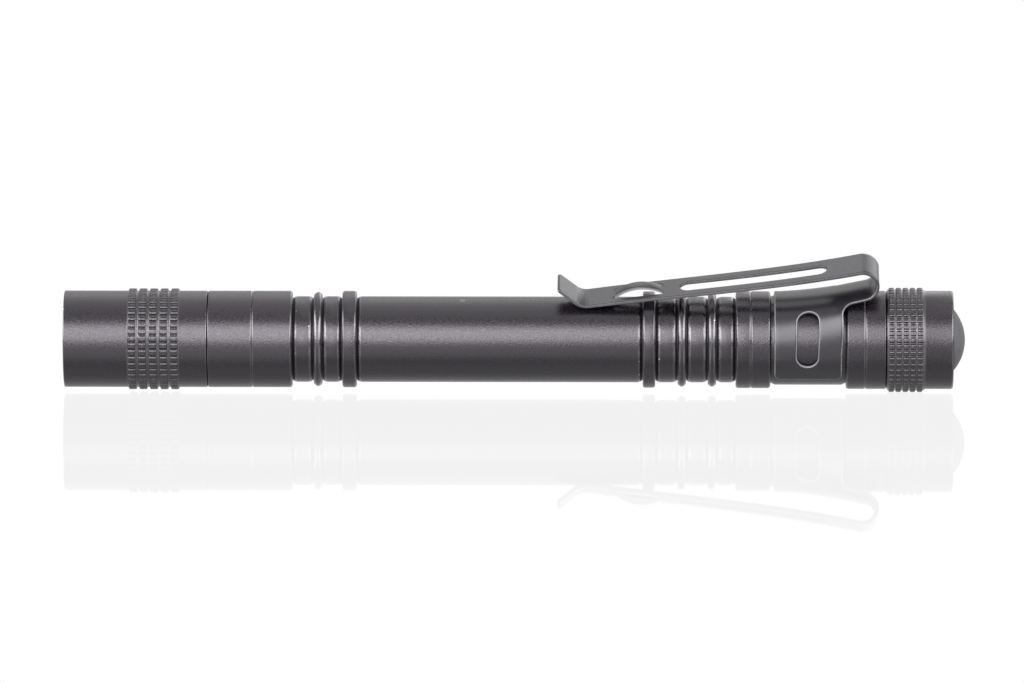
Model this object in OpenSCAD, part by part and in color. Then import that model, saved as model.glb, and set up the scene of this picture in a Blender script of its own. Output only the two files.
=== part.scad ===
// Penlight for two AAA cells: a screwed head, a grooved barrel, a spring-steel pocket clip
// and a push-button tail.
// Every piece is drawn along its own Z from the front rim backwards, and lay() puts the light
// on its side along X.

/* [Cells] */
// Diameter of one cell
cell_d = 10.5; // [10:0.1:11]
// Length of one cell with its nub
cell_len = 44.5; // [42:0.5:48]
// Diameter of the cell's positive nub
cell_nub_d = 3.8; // [3:0.1:5]
// Height of the cell's positive nub
cell_nub_h = 0.8; // [0.6:0.1:1.2]
// Play round the cells in the barrel
cell_clear = 0.2; // [0.1:0.05:0.4]

/* [Barrel] */
// Wall of the plain grip round the cells
grip_wall = 0.83; // [0.7:0.01:1.2]
// Length of the front land behind the head
front_land_len = 12.3; // [10:0.1:15]
// Distance of the front land's line groove from the head
front_line = 6.3; // [4:0.1:8]
// Length of the front neck with its bead
front_neck_len = 7.4; // [6:0.1:9]
// Distance of the bead from the start of the front neck
front_bead = 3.65; // [2.8:0.05:4.4]
// Width of each raised flange
flange_w = 1.95; // [1.4:0.05:2.6]
// Length of the rear neck with its two beads
rear_neck_len = 11.85; // [10.6:0.05:14]
// Distance of the first bead from the start of the rear neck
rear_bead_first = 3.9; // [3.4:0.05:4.6]
// Distance of the second bead from the start of the rear neck
rear_bead_second = 8.4; // [7.6:0.05:9]
// Rise of a bead above the grip
bead_rise = 0.62; // [0.4:0.02:0.8]
// Radius of a bead's round section
bead_r = 0.7; // [0.6:0.02:0.9]
// Length of the land in front of the clip
rear_land_len = 5.05; // [4:0.05:6.5]
// Rise of that land above the grip
rear_land_rise = 0.82; // [0.7:0.02:1]
// Length of the recess that the clip's band turns in
recess_len = 11.2; // [9:0.1:13]
// Depth of that recess
recess_depth = 0.5; // [0.3:0.02:0.55]
// Length of the land behind the clip
tail_land_len = 5.75; // [4.8:0.05:7]
// Width of a line groove
line_w = 0.5; // [0.3:0.05:0.8]
// Depth of a line groove
line_depth = 0.2; // [0.1:0.02:0.3]
// Width of the relief groove beside each step and bead
relief_w = 0.45; // [0.3:0.05:0.6]
// Depth of the relief groove
relief_depth = 0.25; // [0.1:0.05:0.35]
// Chamfer on the turned edges
edge = 0.22; // [0.1:0.02:0.3]

/* [Screw joints] */
// Radial play of a screwed joint
thread_clear = 0.07; // [0.04:0.01:0.1]
// Gap at the closed seams
seam_gap = 0.06; // [0.03:0.01:0.12]
// Length of the barrel's nose inside the head
nose_len = 6.2; // [5:0.1:7.5]
// Wall of the nose round the pill
nose_wall = 1.48; // [1.3:0.02:1.8]
// Wall of the tail spigot round the cells
spigot_wall = 1; // [0.9:0.02:1.3]
// Width of a seal groove
seal_groove_w = 0.95; // [0.8:0.05:1.2]
// Wall left under a seal groove
seal_floor_wall = 0.4; // [0.3:0.02:0.5]
// Section of the nose seal's groove, from its floor to the head's bore
nose_seal_room = 0.7; // [0.5:0.05:0.9]
// Distance of a seal groove from its seam
seal_setback = 0.65; // [0.4:0.05:1]
// Gap round a seal in its groove
seal_clear = 0.03; // [0.02:0.01:0.06]

/* [Head] */
// Length of the head
head_len = 21.2; // [20:0.1:24]
// Wall of the head round the nose
head_wall = 0.78; // [0.6:0.02:1.1]
// Thickness of the front lip
lip_t = 1; // [0.7:0.05:1.4]
// Diameter of the front opening
opening_d = 10.4; // [9.4:0.1:10.9]
// Thickness of the lens seal
lens_seal_t = 0.5; // [0.3:0.05:0.8]
// Diameter of the lens
lens_d = 11.7; // [11.3:0.1:12]
// Thickness of the lens
lens_t = 1.2; // [0.8:0.1:1.8]
// Radial play of the lens and the reflector
lens_clear = 0.1; // [0.05:0.01:0.2]
// Wall of the reflector at its front edge
reflector_wall = 0.55; // [0.4:0.05:0.8]
// Diameter of the reflector's rear hole
reflector_hole_d = 3.8; // [3:0.1:4.4]
// Length of the reflector's straight rim
reflector_rim_len = 4; // [3:0.1:5]
// Diameter of the reflector's rear end
reflector_rear_d = 6.8; // [5.6:0.1:8]

/* [Light engine] */
// Diameter of the brass pill
pill_d = 9.4; // [9:0.1:10]
// Radial play of the pill in the nose
pill_clear = 0.04; // [0.02:0.01:0.08]
// Length of the pill behind its flange
pill_len = 8.6; // [7.5:0.1:10]
// Thickness of the pill's flange
pill_flange_t = 1.4; // [1:0.1:2]
// Reach of the pill's flange over the nose
pill_flange_reach = 1.1; // [0.6:0.05:1.2]
// Thickness of the pill's front wall
pill_web_t = 3.4; // [2:0.1:4]
// Wall of the pill's hollow rear
pill_wall = 0.5; // [0.4:0.05:0.7]
// Ledge that the driver board rests on
pill_ledge = 0.4; // [0.2:0.05:0.8]
// Depth of the driver board in the pill's rear end
driver_recess = 0.2; // [0.1:0.05:0.4]
// Diameter of the emitter board
led_board_d = 8.4; // [7:0.1:9.4]
// Thickness of both the emitter's and the driver's boards
board_t = 1; // [0.6:0.1:1.4]
// Side of the emitter's square package
led_side = 3.45; // [2.5:0.05:4]
// Height of the emitter's package
led_h = 0.7; // [0.5:0.05:0.9]
// Diameter of the emitter's dome
led_dome_d = 2.5; // [1.6:0.1:3]
// Outer diameter of the centring ring
led_ring_d = 7.2; // [6.2:0.1:8]
// Height of the centring ring
led_ring_h = 1; // [0.8:0.05:1.3]
// Play inside and in front of the centring ring
led_ring_clear = 0.08; // [0.05:0.01:0.15]
// Diameter of a lead
lead_d = 0.7; // [0.4:0.05:1]
// Distance between the two leads
lead_spread = 5.2; // [4:0.1:6]
// Play round a lead in the pill
lead_clear = 0.15; // [0.1:0.05:0.3]
// Height of the contact stud behind the driver board
stud_h = 1.8; // [1.4:0.1:2.6]
// Diameter of the contact stud
stud_d = 3.2; // [2:0.1:4]

/* [Tail] */
// Length of the tail cap
tail_cap_len = 9.65; // [9.3:0.05:10.6]
// Wall of the tail cap round the spigot
cap_wall = 0.68; // [0.5:0.02:1]
// Thickness of the cap's end wall
end_wall = 1.1; // [0.8:0.05:1.6]
// Length of the tail spring
tail_spring_len = 4.5; // [4.4:0.1:6]
// Wire of the tail spring
tail_wire_d = 0.5; // [0.4:0.05:0.6]
// Mean radius of the tail spring at the board
tail_coil_r = 3.6; // [3:0.1:4.2]
// Mean radius of the tail spring at the cell
tail_coil_tip_r = 2.4; // [1.8:0.1:2.8]
// Turns of the tail spring
tail_turns = 4; // [2:1:4]
// Gap between a spring and what it presses on
spring_seat = 0.03; // [0.02:0.01:0.06]

/* [Switch] */
// Diameter of the switch housing
housing_d = 9.6; // [8.6:0.1:10.2]
// Least play of the switch housing in the barrel's bore
housing_clear = 0.1; // [0.05:0.01:0.3]
// Length of the switch housing
housing_len = 7; // [6.4:0.1:8.5]
// Wall of the switch housing
housing_wall = 0.8; // [0.6:0.05:1.1]
// Reach of the housing's flange past its body
housing_flange_reach = 0.7; // [0.4:0.05:0.8]
// Thickness of the housing's flange
housing_flange_t = 0.6; // [0.4:0.05:0.8]
// Thickness of the retaining ring
ring_t = 1.2; // [1:0.05:1.6]
// Play round the switch's fixed pieces
switch_clear = 0.05; // [0.03:0.01:0.1]
// Gap between the barrel's spigot and the retaining ring
spigot_end_gap = 0.2; // [0.1:0.02:0.4]
// Travel of the button
button_travel = 1.5; // [0.8:0.1:1.8]
// Spare room at the end of the button's travel
travel_spare = 0.2; // [0.1:0.02:0.4]
// Gap left between the plunger and its contact at the end of the travel
contact_spare = 0.1; // [0.05:0.01:0.2]
// Gap behind the plunger's collar
collar_gap = 0.2; // [0.1:0.02:0.3]
// Diameter of the plunger
plunger_d = 2.8; // [2:0.1:3.4]
// Diameter of the plunger's collar
collar_d = 5.2; // [4.4:0.1:6]
// Thickness of the plunger's collar
collar_t = 1; // [0.6:0.1:1.4]
// Wire of the switch spring
switch_wire_d = 0.35; // [0.25:0.05:0.45]
// Turns of the switch spring
switch_turns = 4; // [2:1:4]
// Thickness of the switch's contact disc
contact_t = 0.25; // [0.15:0.05:0.4]

/* [Button] */
// Diameter of the button's dome at the cap's end
button_d = 8.9; // [7:0.1:9.2]
// Radius of the dome
dome_r = 6.9; // [5.5:0.1:9]
// Height of the button's straight side above the cap's end
button_proud = 0.07; // [0.02:0.01:0.3]
// Radial play of the button in the cap's hole
button_clear = 0.1; // [0.05:0.01:0.2]
// Thickness of the boot's flange
boot_flange_t = 0.8; // [0.5:0.05:1.1]
// Reach of the boot's flange past its side
boot_flange_reach = 1.2; // [0.7:0.05:1.3]
// Wall of the boot
boot_wall = 0.9; // [0.6:0.05:1.2]
// Diameter of the post inside the boot
boot_post_d = 3; // [2:0.1:4]

/* [Knurls] */
// Rows of teeth round the head and round the tail cap
knurl_rows = 5; // [3:1:5]
// Distance of the head's first row from the front rim
head_knurl_at = 10.1; // [8.5:0.1:11]
// Spacing of the head's rows
head_row_pitch = 1.55; // [1.3:0.05:1.8]
// Width of a head row at its top
head_row_top = 0.95; // [0.6:0.05:1.1]
// Rise of the head's teeth
head_tooth_rise = 0.33; // [0.2:0.01:0.45]
// Teeth round the head
head_teeth = 44; // [32:4:56]
// Width of the notch between the head's teeth
head_notch = 0.42; // [0.3:0.02:0.6]
// Distance of the tail's first row from its seam
tail_knurl_at = 0.75; // [0.7:0.05:1.2]
// Spacing of the tail's rows
tail_row_pitch = 1.04; // [0.9:0.02:1.2]
// Width of a tail row at its top
tail_row_top = 0.42; // [0.3:0.02:0.6]
// Length of the band past the first and the last tail row
tail_band_margin = 0.14; // [0.12:0.01:0.18]
// Rise of the band under the tail's teeth
tail_band_rise = 0.2; // [0.1:0.02:0.3]
// Rise of the tail's teeth above that band
tail_tooth_rise = 0.25; // [0.15:0.01:0.35]
// Teeth round the tail
tail_teeth = 48; // [32:4:56]
// Width of the notch between the tail's teeth
tail_notch = 0.5; // [0.3:0.02:0.7]
// Width of each row's two sloping sides
row_side_w = 0.16; // [0.08:0.02:0.24]

/* [Clip] */
// Turn of the clip round the barrel, from the top towards the front
clip_angle = 19.5; // [-180:0.5:180]
// Thickness of the spring steel
clip_t = 0.5; // [0.4:0.05:0.55]
// Width of the arm at the fold
clip_w = 6.2; // [5.4:0.1:7]
// Width of the arm at its tip
clip_tip_w = 5.4; // [4.6:0.1:6]
// Play of the band on the barrel
band_clear = 0.04; // [0.02:0.01:0.08]
// Gap beside the band in its recess
band_side_gap = 0.65; // [0.3:0.05:1]
// Angle that the band reaches round each side from the arm
band_half_angle = 118; // [105:1:135]
// Angle of each oval window from the arm
window_angle = 60; // [55:1:70]
// Width of an oval window along the barrel
window_w = 3.4; // [2.4:0.1:4.4]
// Length of an oval window round the band
window_len = 7.9; // [5.5:0.1:8.4]
// Lift of the fold above the rear land
clip_lift = 0.6; // [0.55:0.05:1]
// Outer radius of the fold
fold_outer_r = 2.45; // [2:0.05:3]
// Distance of the fold from the tail cap's seam
fold_setback = 0.97; // [0.6:0.01:1.2]
// Slope of the neck that rises from the band to the fold
neck_angle = 12; // [11:0.5:15]
// Gap of the fold's flexing line
flex_gap = 0.06; // [0.04:0.01:0.1]
// Distance from the fold to the bend at the arm's tip
arm_reach = 40.8; // [36:0.2:44]
// Gap between the arm's bend and the grip
tip_gap = 0.12; // [0.05:0.01:0.3]
// Radius of the bend at the arm's tip
tip_bend_r = 1.1; // [0.8:0.05:1.6]
// Slope of the flared tip
flare_angle = 32; // [20:1:45]
// Length of the flared tip
flare_len = 4.2; // [3:0.1:5.5]
// Metal left between the bridge and the long slot
slot_gap = 2.5; // [1.8:0.1:4]
// Width of the long slot
slot_w = 2.5; // [1.6:0.1:3]
// Distance of the slot's rear end from the fold
slot_at = 5.3; // [4:0.1:7]
// Length of the raised bridge in the arm
bridge_len = 7.2; // [5.5:0.1:8]
// Rise of the bridge
bridge_rise = 1.15; // [0.8:0.05:1.5]
// Width of the bridge
bridge_w = 2; // [1.4:0.1:2.4]
// Slit along each side of the bridge
bridge_slit = 0.4; // [0.25:0.05:0.6]
// Distance of the bridge's middle from the bend at the tip
bridge_at = 8; // [6:0.1:9]

/* [Hidden] */
$fn = 96;

// Sideways overlap that makes two drawn shapes one solid, and the overshoot of a cut
lap = 0.2;
over = 1;
// Overlap of two neighbouring stretches of the clip's strip
bite = 0.05;
// Height of a notch's tip above the surface that the teeth stand on
notch_floor = 0.03;
// Straight steps of the reflector's bowl, and of a fan that cuts a sector out of a ring
bowl_steps = 10;
fan_steps = 4;

// Radii, from the cells outwards: the bore takes the wider of a cell and the switch housing
bore_r = max(cell_d / 2 + cell_clear, housing_d / 2 + housing_clear);
grip_r = bore_r + grip_wall;
nose_bore_r = pill_d / 2 + pill_clear;
nose_r = nose_bore_r + nose_wall;
head_bore_r = nose_r + thread_clear;
head_r = head_bore_r + head_wall;
lens_bore_r = lens_d / 2 + lens_clear;
rear_land_r = grip_r + rear_land_rise;
recess_r = rear_land_r - recess_depth;
spigot_r = bore_r + spigot_wall;
cap_bore_r = spigot_r + thread_clear;
tail_r = cap_bore_r + cap_wall;
tail_seal_floor_r = bore_r + seal_floor_wall;
nose_seal_floor_r = head_bore_r - nose_seal_room;
head_knurl_r = head_r + head_tooth_rise;
tail_band_r = tail_r + tail_band_rise;
tail_knurl_r = tail_band_r + tail_tooth_rise;
rest_h = tail_knurl_r;

// Stations of the head and the light engine, from the front rim
seal_z = lip_t;
lens_z = seal_z + lens_seal_t;
reflector_z = lens_z + lens_t;
nose_z = head_len - nose_len;
pill_z = nose_z - pill_flange_t;
led_board_z = pill_z - board_t;
led_z = led_board_z - led_h;
led_ring_z = led_board_z - led_ring_h;
reflector_end = led_ring_z - led_ring_clear;
lens_bore_end = reflector_end + led_ring_clear;
pill_end = nose_z + pill_len;
pill_hollow_z = pill_z + pill_web_t;
driver_z = pill_end - driver_recess - board_t;
stud_z = driver_z + board_t;

// Stations of the cells and the switch
front_cell_z = stud_z + stud_h;
rear_cell_z = front_cell_z + cell_len;
cells_end = rear_cell_z + cell_len;
switch_board_z = cells_end + tail_spring_len;
housing_z = switch_board_z + board_t;
housing_end = housing_z + housing_len;
ring_z = housing_end - ring_t;
boot_z = housing_end + button_travel + travel_spare;
chamber_end = boot_z + boot_flange_t + switch_clear;
tail_end = chamber_end + end_wall;
tail_seam = tail_end - tail_cap_len;
spigot_end = ring_z - spigot_end_gap;
nose_seal_z = head_len - seal_setback - seal_groove_w;
tail_seal_z = tail_seam + seal_setback;
button_top = tail_end + button_proud;
button_r = button_d / 2;
dome_drop = sqrt(dome_r * dome_r - button_r * button_r);
dome_z = button_top - dome_drop;
overall_len = dome_z + dome_r;

// Stations of the barrel: the plain grip takes what the cells' length leaves
front_land_end = head_len + front_land_len;
front_neck_end = front_land_end + front_neck_len;
grip_z = front_neck_end + flange_w;
tail_land_z = tail_seam - tail_land_len;
recess_z = tail_land_z - recess_len;
rear_land_z = recess_z - rear_land_len;
rear_neck_z = rear_land_z - rear_neck_len;
grip_end = rear_neck_z - flange_w;
bead_centre_r = grip_r + bead_rise - bead_r;
bead_half = sqrt(bead_r * bead_r - pow(grip_r - bead_centre_r, 2));
bead_stations = [
    front_land_end + front_bead, rear_neck_z + rear_bead_first, rear_neck_z + rear_bead_second
];
bead_reliefs = [for (z = bead_stations, z0 = [z - bead_half - relief_w, z + bead_half]) z0];
step_reliefs = [
    front_land_end, front_neck_end - relief_w, grip_z,
    grip_end - relief_w, rear_neck_z, rear_land_z - relief_w
];

// Plunger, its collar and its spring
housing_floor_end = housing_z + housing_wall;
plunger_z = housing_floor_end + contact_t + button_travel + contact_spare;
collar_z = housing_end - housing_wall - collar_t - collar_gap;
switch_coil_r = (plunger_d / 2 + collar_d / 2) / 2;

// Clip: the strip's side view, in [distance from the axis, station]
band_r = recess_r + band_clear;
band_mid_r = band_r + clip_t / 2;
band_z = recess_z + band_side_gap;
band_end = tail_land_z - band_side_gap;
fold_r = fold_outer_r - clip_t / 2;
fold = [tail_r + clip_lift + fold_outer_r, tail_seam - fold_setback - fold_outer_r];
bend = [grip_r + tip_gap + clip_t / 2 + tip_bend_r, fold[1] - arm_reach];
arm_angle = atan2(fold[0] - bend[0], fold[1] - bend[1]) + asin((fold_r + tip_bend_r) / norm(fold - bend));
neck_top = fold + fold_r * [-cos(neck_angle), sin(neck_angle)];
neck_foot = neck_top - (neck_top[0] - band_mid_r) / sin(neck_angle) * [sin(neck_angle), cos(neck_angle)];
arm_rear = fold + fold_r * [cos(arm_angle), -sin(arm_angle)];
arm_front = bend + tip_bend_r * [-cos(arm_angle), sin(arm_angle)];
flare_foot = bend - tip_bend_r * [cos(flare_angle), sin(flare_angle)];
flare_tip = flare_foot + flare_len * [sin(flare_angle), -cos(flare_angle)];
bridge_mid = arm_front + bridge_at * [sin(arm_angle), cos(arm_angle)];
bridge_r = (pow(bridge_len / 2, 2) + pow(bridge_rise, 2)) / (2 * bridge_rise);
bridge_half = asin(bridge_len / 2 / bridge_r);
bridge_rear = bridge_mid + bridge_len / 2 * [sin(arm_angle), cos(arm_angle)];
bridge_centre = bridge_mid - (bridge_r - bridge_rise) * [cos(arm_angle), -sin(arm_angle)];

// Rings of six points along a coil from z0 to z1, whose radius goes from r0 to r1
coil_sides = 6;
coil_rings = 8;
function coil_centres(z0, z1, r0, r1, turns) =
    let (last = turns * coil_rings)
    [for (i = [0 : last])
        let (share = i / last, a = 360 * i / coil_rings, r = r0 + (r1 - r0) * share)
        [r * cos(a), r * sin(a), z0 + (z1 - z0) * share]];
function coil_gap(centres, wire_d) =
    min([for (i = [0 : len(centres) - 1])
        for (j = [i + coil_rings / 2 : 1 : len(centres) - 1])
            norm(centres[i] - centres[j])]) - wire_d;

tail_coil = coil_centres(
    switch_board_z - tail_wire_d / 2 - spring_seat, cells_end + tail_wire_d / 2 + spring_seat,
    tail_coil_r, tail_coil_tip_r, tail_turns);
switch_coil = coil_centres(
    housing_floor_end + switch_wire_d / 2 + spring_seat, collar_z - switch_wire_d / 2 - spring_seat,
    switch_coil_r, switch_coil_r, switch_turns);
echo(tail_spring_least_gap = coil_gap(tail_coil, tail_wire_d));
echo(switch_spring_least_gap = coil_gap(switch_coil, switch_wire_d));
echo(overall_len = overall_len, rest_h = rest_h, tail_end = tail_end, tail_seam = tail_seam);
echo(fold = fold, arm_angle = arm_angle, bend = bend, head_r = head_r, tail_r = tail_r);

module lay() {
    translate([-overall_len / 2, 0, rest_h]) rotate([0, 90, 0]) children();
}

// A solid of revolution between two stations, with a chamfer at each end
module drum(z0, z1, r, c0 = 0, c1 = 0) {
    rotate_extrude()
        polygon([[0, z0], [r - c0, z0], [r, z0 + c0], [r, z1 - c1], [r - c1, z1], [0, z1]]);
}

module ring(z0, z1, outer_r, inner_r) {
    rotate_extrude() translate([inner_r, z0]) square([outer_r - inner_r, z1 - z0]);
}

module round_ring(z, centre_r, section_r) {
    rotate_extrude() translate([centre_r, z]) circle(r = section_r);
}

module line_groove(z, r) {
    rotate_extrude()
        polygon([[r - line_depth, z], [r + line_depth, z - line_w], [r + line_depth, z + line_w]]);
}

// Rows of teeth: each row is a ridge, and one set of notches crosses all the rows
module knurl(z, pitch, top_w, foot_r, base_r, top_r, teeth, notch_w) {
    tip_r = base_r + notch_floor;
    mouth_r = 2 * top_r - base_r;
    difference() {
        for (i = [0 : knurl_rows - 1])
            translate([0, 0, z + i * pitch])
                rotate_extrude()
                    polygon([
                        [foot_r, -top_w / 2 - row_side_w], [base_r, -top_w / 2 - row_side_w],
                        [top_r, -top_w / 2], [top_r, top_w / 2],
                        [base_r, top_w / 2 + row_side_w], [foot_r, top_w / 2 + row_side_w]
                    ]);
        for (k = [0 : teeth - 1])
            rotate([0, 0, (k + 0.5) * 360 / teeth])
                translate([0, 0, z - pitch])
                    linear_extrude((knurl_rows + 1) * pitch)
                        polygon([[tip_r, 0], [mouth_r, -notch_w], [mouth_r, notch_w]]);
    }
}

// A six-sided wire swept along the coil's centres
module wire(centres, wire_d) {
    last = len(centres) - 1;
    points = [for (c = centres, s = [0 : coil_sides - 1])
        let (out = [c[0], c[1], 0] / norm([c[0], c[1]]), a = 360 * s / coil_sides)
        c + wire_d / 2 * (cos(a) * out + [0, 0, sin(a)])];
    sides = [for (i = [0 : last - 1], s = [0 : coil_sides - 1])
        let (a = i * coil_sides + s, b = i * coil_sides + (s + 1) % coil_sides)
        for (face = [[a, a + coil_sides, b], [b, a + coil_sides, b + coil_sides]]) face];
    ends = [for (s = [1 : coil_sides - 2], face = [
        [0, s, s + 1], [last * coil_sides, last * coil_sides + s + 1, last * coil_sides + s]]) face];
    polyhedron(points, concat(sides, ends));
}

// Pieces of the clip's side view: a straight stretch and a round one
module straight(p, q) {
    along = (q - p) / norm(q - p);
    side = clip_t / 2 * [along[1], -along[0]];
    start = p - bite * along;
    end = q + bite * along;
    polygon([start + side, end + side, end - side, start - side]);
}

module bent(centre, r, a0, a1) {
    reach = 2 * (r + clip_t);
    translate(centre)
        intersection() {
            difference() {
                circle(r = r + clip_t / 2);
                circle(r = r - clip_t / 2);
            }
            polygon(concat([[0, 0]], [for (i = [0 : fan_steps])
                let (a = a0 + (a1 - a0) * i / fan_steps) reach * [cos(a), sin(a)]]));
        }
}

module strip(w) {
    rotate([90, 0, 0]) linear_extrude(w, center = true) children();
}

// A cut with round ends that goes outwards through the clip, long along the axis or round it
module window(z0, z1, w) {
    inner = band_r - over;
    height = fold[0];
    for (z = [z0 + w / 2, z1 - w / 2])
        translate([inner, 0, z]) rotate([0, 90, 0]) cylinder(h = height, d = w);
    translate([inner, -w / 2, z0 + w / 2]) cube([height, w, z1 - z0 - w]);
}

module clip_place() {
    lay() rotate([0, 0, 180 + clip_angle]) children();
}

module head_bezel() {
    color("#3b393d") lay() difference() {
        union() {
            drum(0, head_len - seam_gap, head_r, edge, edge / 2);
            knurl(head_knurl_at, head_row_pitch, head_row_top, head_r - lap, head_r, head_knurl_r,
                head_teeth, head_notch);
        }
        drum(-over, seal_z + over, opening_d / 2);
        drum(seal_z, lens_bore_end + over, lens_bore_r);
        drum(lens_bore_end, head_len + over, head_bore_r);
    }
}

module lens_seal() {
    color("#202022") lay() ring(seal_z, lens_z, lens_d / 2, opening_d / 2);
}

module front_lens() {
    color("#c8dde2", 0.5) lay() drum(lens_z, reflector_z, lens_d / 2, edge / 2, edge / 2);
}

// A bowl whose section is a parabola through its front and rear edges
module reflector() {
    rim_r = lens_d / 2;
    mouth_r = rim_r - reflector_wall;
    hole_r = reflector_hole_d / 2;
    rear_r = reflector_rear_d / 2;
    depth = reflector_end - reflector_z;
    bowl = [for (i = [0 : bowl_steps])
        let (r = mouth_r + (hole_r - mouth_r) * i / bowl_steps)
        [r, reflector_z + depth * (mouth_r * mouth_r - r * r) / (mouth_r * mouth_r - hole_r * hole_r)]];
    color("#d7d9dc") lay()
        rotate_extrude()
            polygon(concat(bowl, [
                [rear_r, reflector_end], [rim_r, reflector_z + reflector_rim_len], [rim_r, reflector_z]
            ]));
}

module head_oring() {
    z = nose_seal_z + seal_groove_w / 2;
    centre_r = (nose_seal_floor_r + head_bore_r) / 2;
    color("#19191a") lay() round_ring(z, centre_r, nose_seal_room / 2 - seal_clear);
}

module barrel() {
    color("#3a373c") lay() difference() {
        union() {
            drum(nose_z, head_len + lap, nose_r, edge);
            drum(head_len, tail_seam, grip_r);
            drum(head_len, front_land_end, head_r, edge / 2, edge);
            drum(front_neck_end, grip_z, head_r, edge, edge);
            drum(grip_end, rear_neck_z, head_r, edge, edge);
            drum(rear_land_z, recess_z, rear_land_r, edge, edge);
            drum(recess_z - lap, tail_land_z + lap, recess_r);
            drum(tail_land_z, tail_seam, tail_r, edge, edge / 2);
            drum(tail_seam - lap, spigot_end, spigot_r, 0, edge);
            for (z = bead_stations)
                round_ring(z, bead_centre_r, bead_r);
        }
        drum(nose_z - over, pill_end + over, nose_bore_r);
        drum(pill_end, spigot_end + over, bore_r);
        for (z = concat(bead_reliefs, step_reliefs))
            ring(z, z + relief_w, grip_r + lap, grip_r - relief_depth);
        line_groove(head_len + front_line, head_r);
        line_groove((rear_land_z + recess_z) / 2, rear_land_r);
        line_groove((tail_land_z + tail_seam) / 2, tail_r);
        ring(nose_seal_z, nose_seal_z + seal_groove_w, nose_r + over, nose_seal_floor_r);
        ring(tail_seal_z, tail_seal_z + seal_groove_w, spigot_r + over, tail_seal_floor_r);
    }
}

module led_pill() {
    color("#b08d4c") lay() difference() {
        union() {
            drum(pill_z, nose_z, pill_d / 2 + pill_flange_reach, edge);
            drum(pill_z, pill_end, pill_d / 2);
        }
        drum(pill_hollow_z, pill_end + over, pill_d / 2 - pill_wall - pill_ledge);
        drum(driver_z, pill_end + over, pill_d / 2 - pill_wall);
        for (side = [-1, 1])
            translate([0, side * lead_spread / 2, pill_z - over])
                cylinder(h = pill_web_t + 2 * over, d = lead_d + 2 * lead_clear);
    }
}

module led_board() {
    color("#e4e2da") lay() drum(led_board_z, pill_z, led_board_d / 2);
}

module led_emitter() {
    color("#efe9d8") lay()
        translate([-led_side / 2, -led_side / 2, led_z]) cube([led_side, led_side, led_h]);
}

module led_dome() {
    color("#f2d65c") lay()
        intersection() {
            translate([0, 0, led_z]) sphere(d = led_dome_d);
            drum(led_z - led_dome_d, led_z, led_dome_d);
        }
}

module led_ring() {
    hole = led_side + 2 * led_ring_clear;
    color("#f0f0ec") lay() difference() {
        drum(led_ring_z, led_board_z, led_ring_d / 2);
        translate([-hole / 2, -hole / 2, led_ring_z - over]) cube([hole, hole, led_ring_h + 2 * over]);
    }
}

module led_leads() {
    color("#a83228") lay()
        for (side = [-1, 1])
            translate([0, side * lead_spread / 2, pill_z]) cylinder(h = driver_z - pill_z, d = lead_d);
}

module driver_board() {
    color("#2f6b3f") lay() drum(driver_z, stud_z, pill_d / 2 - pill_wall - pill_clear);
}

module driver_contact() {
    color("#c49a4a") lay() drum(stud_z, front_cell_z, stud_d / 2, 0, edge);
}

module cell(z) {
    drum(z, z + cell_nub_h + lap, cell_nub_d / 2, edge);
    drum(z + cell_nub_h, z + cell_len, cell_d / 2, edge, edge);
}

module front_cell() {
    color("#8a6a3a") lay() cell(front_cell_z);
}

module rear_cell() {
    color("#8a6a3a") lay() cell(rear_cell_z);
}

module tail_oring() {
    z = tail_seal_z + seal_groove_w / 2;
    centre_r = (tail_seal_floor_r + cap_bore_r) / 2;
    color("#19191a") lay() round_ring(z, centre_r, (cap_bore_r - tail_seal_floor_r) / 2 - seal_clear);
}

module tail_cap() {
    row_half = tail_row_top / 2 + row_side_w + tail_band_margin;
    band_start = tail_seam + tail_knurl_at - row_half;
    band_stop = band_start + (knurl_rows - 1) * tail_row_pitch + 2 * row_half;
    color("#3b393d") lay() difference() {
        union() {
            drum(tail_seam + seam_gap, tail_end, tail_r, edge / 2, edge);
            drum(band_start, band_stop, tail_band_r, tail_band_margin / 2, tail_band_margin / 2);
            knurl(tail_seam + tail_knurl_at, tail_row_pitch, tail_row_top, tail_r - lap, tail_band_r,
                tail_knurl_r, tail_teeth, tail_notch);
        }
        drum(tail_seam - over, housing_end, cap_bore_r);
        drum(housing_end - lap, chamber_end, button_r + boot_flange_reach + button_clear);
        drum(chamber_end - lap, tail_end + over, button_r + button_clear);
    }
}

module retaining_ring() {
    color("#b9975a") lay() difference() {
        drum(ring_z, housing_end, cap_bore_r - switch_clear, edge, edge);
        drum(ring_z - over, housing_end + over, housing_d / 2 + switch_clear);
        drum(housing_end - housing_flange_t, housing_end + over,
            housing_d / 2 + housing_flange_reach + switch_clear);
    }
}

module switch_housing() {
    color("#27272b") lay() difference() {
        union() {
            drum(housing_z, housing_end, housing_d / 2);
            drum(housing_end - housing_flange_t, housing_end, housing_d / 2 + housing_flange_reach);
        }
        drum(housing_floor_end, housing_end - housing_wall, collar_d / 2 + 2 * switch_clear);
        drum(housing_end - housing_wall - lap, housing_end + over, plunger_d / 2 + 2 * switch_clear);
    }
}

module switch_board() {
    color("#2f6b3f") lay() drum(switch_board_z, housing_z, housing_d / 2);
}

module switch_contact() {
    color("#c49a4a") lay() drum(housing_floor_end, housing_floor_end + contact_t, plunger_d / 2);
}

module tail_spring() {
    color("#c9c6bd") lay() wire(tail_coil, tail_wire_d);
}

module switch_spring() {
    color("#c9c6bd") lay() wire(switch_coil, switch_wire_d);
}

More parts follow.
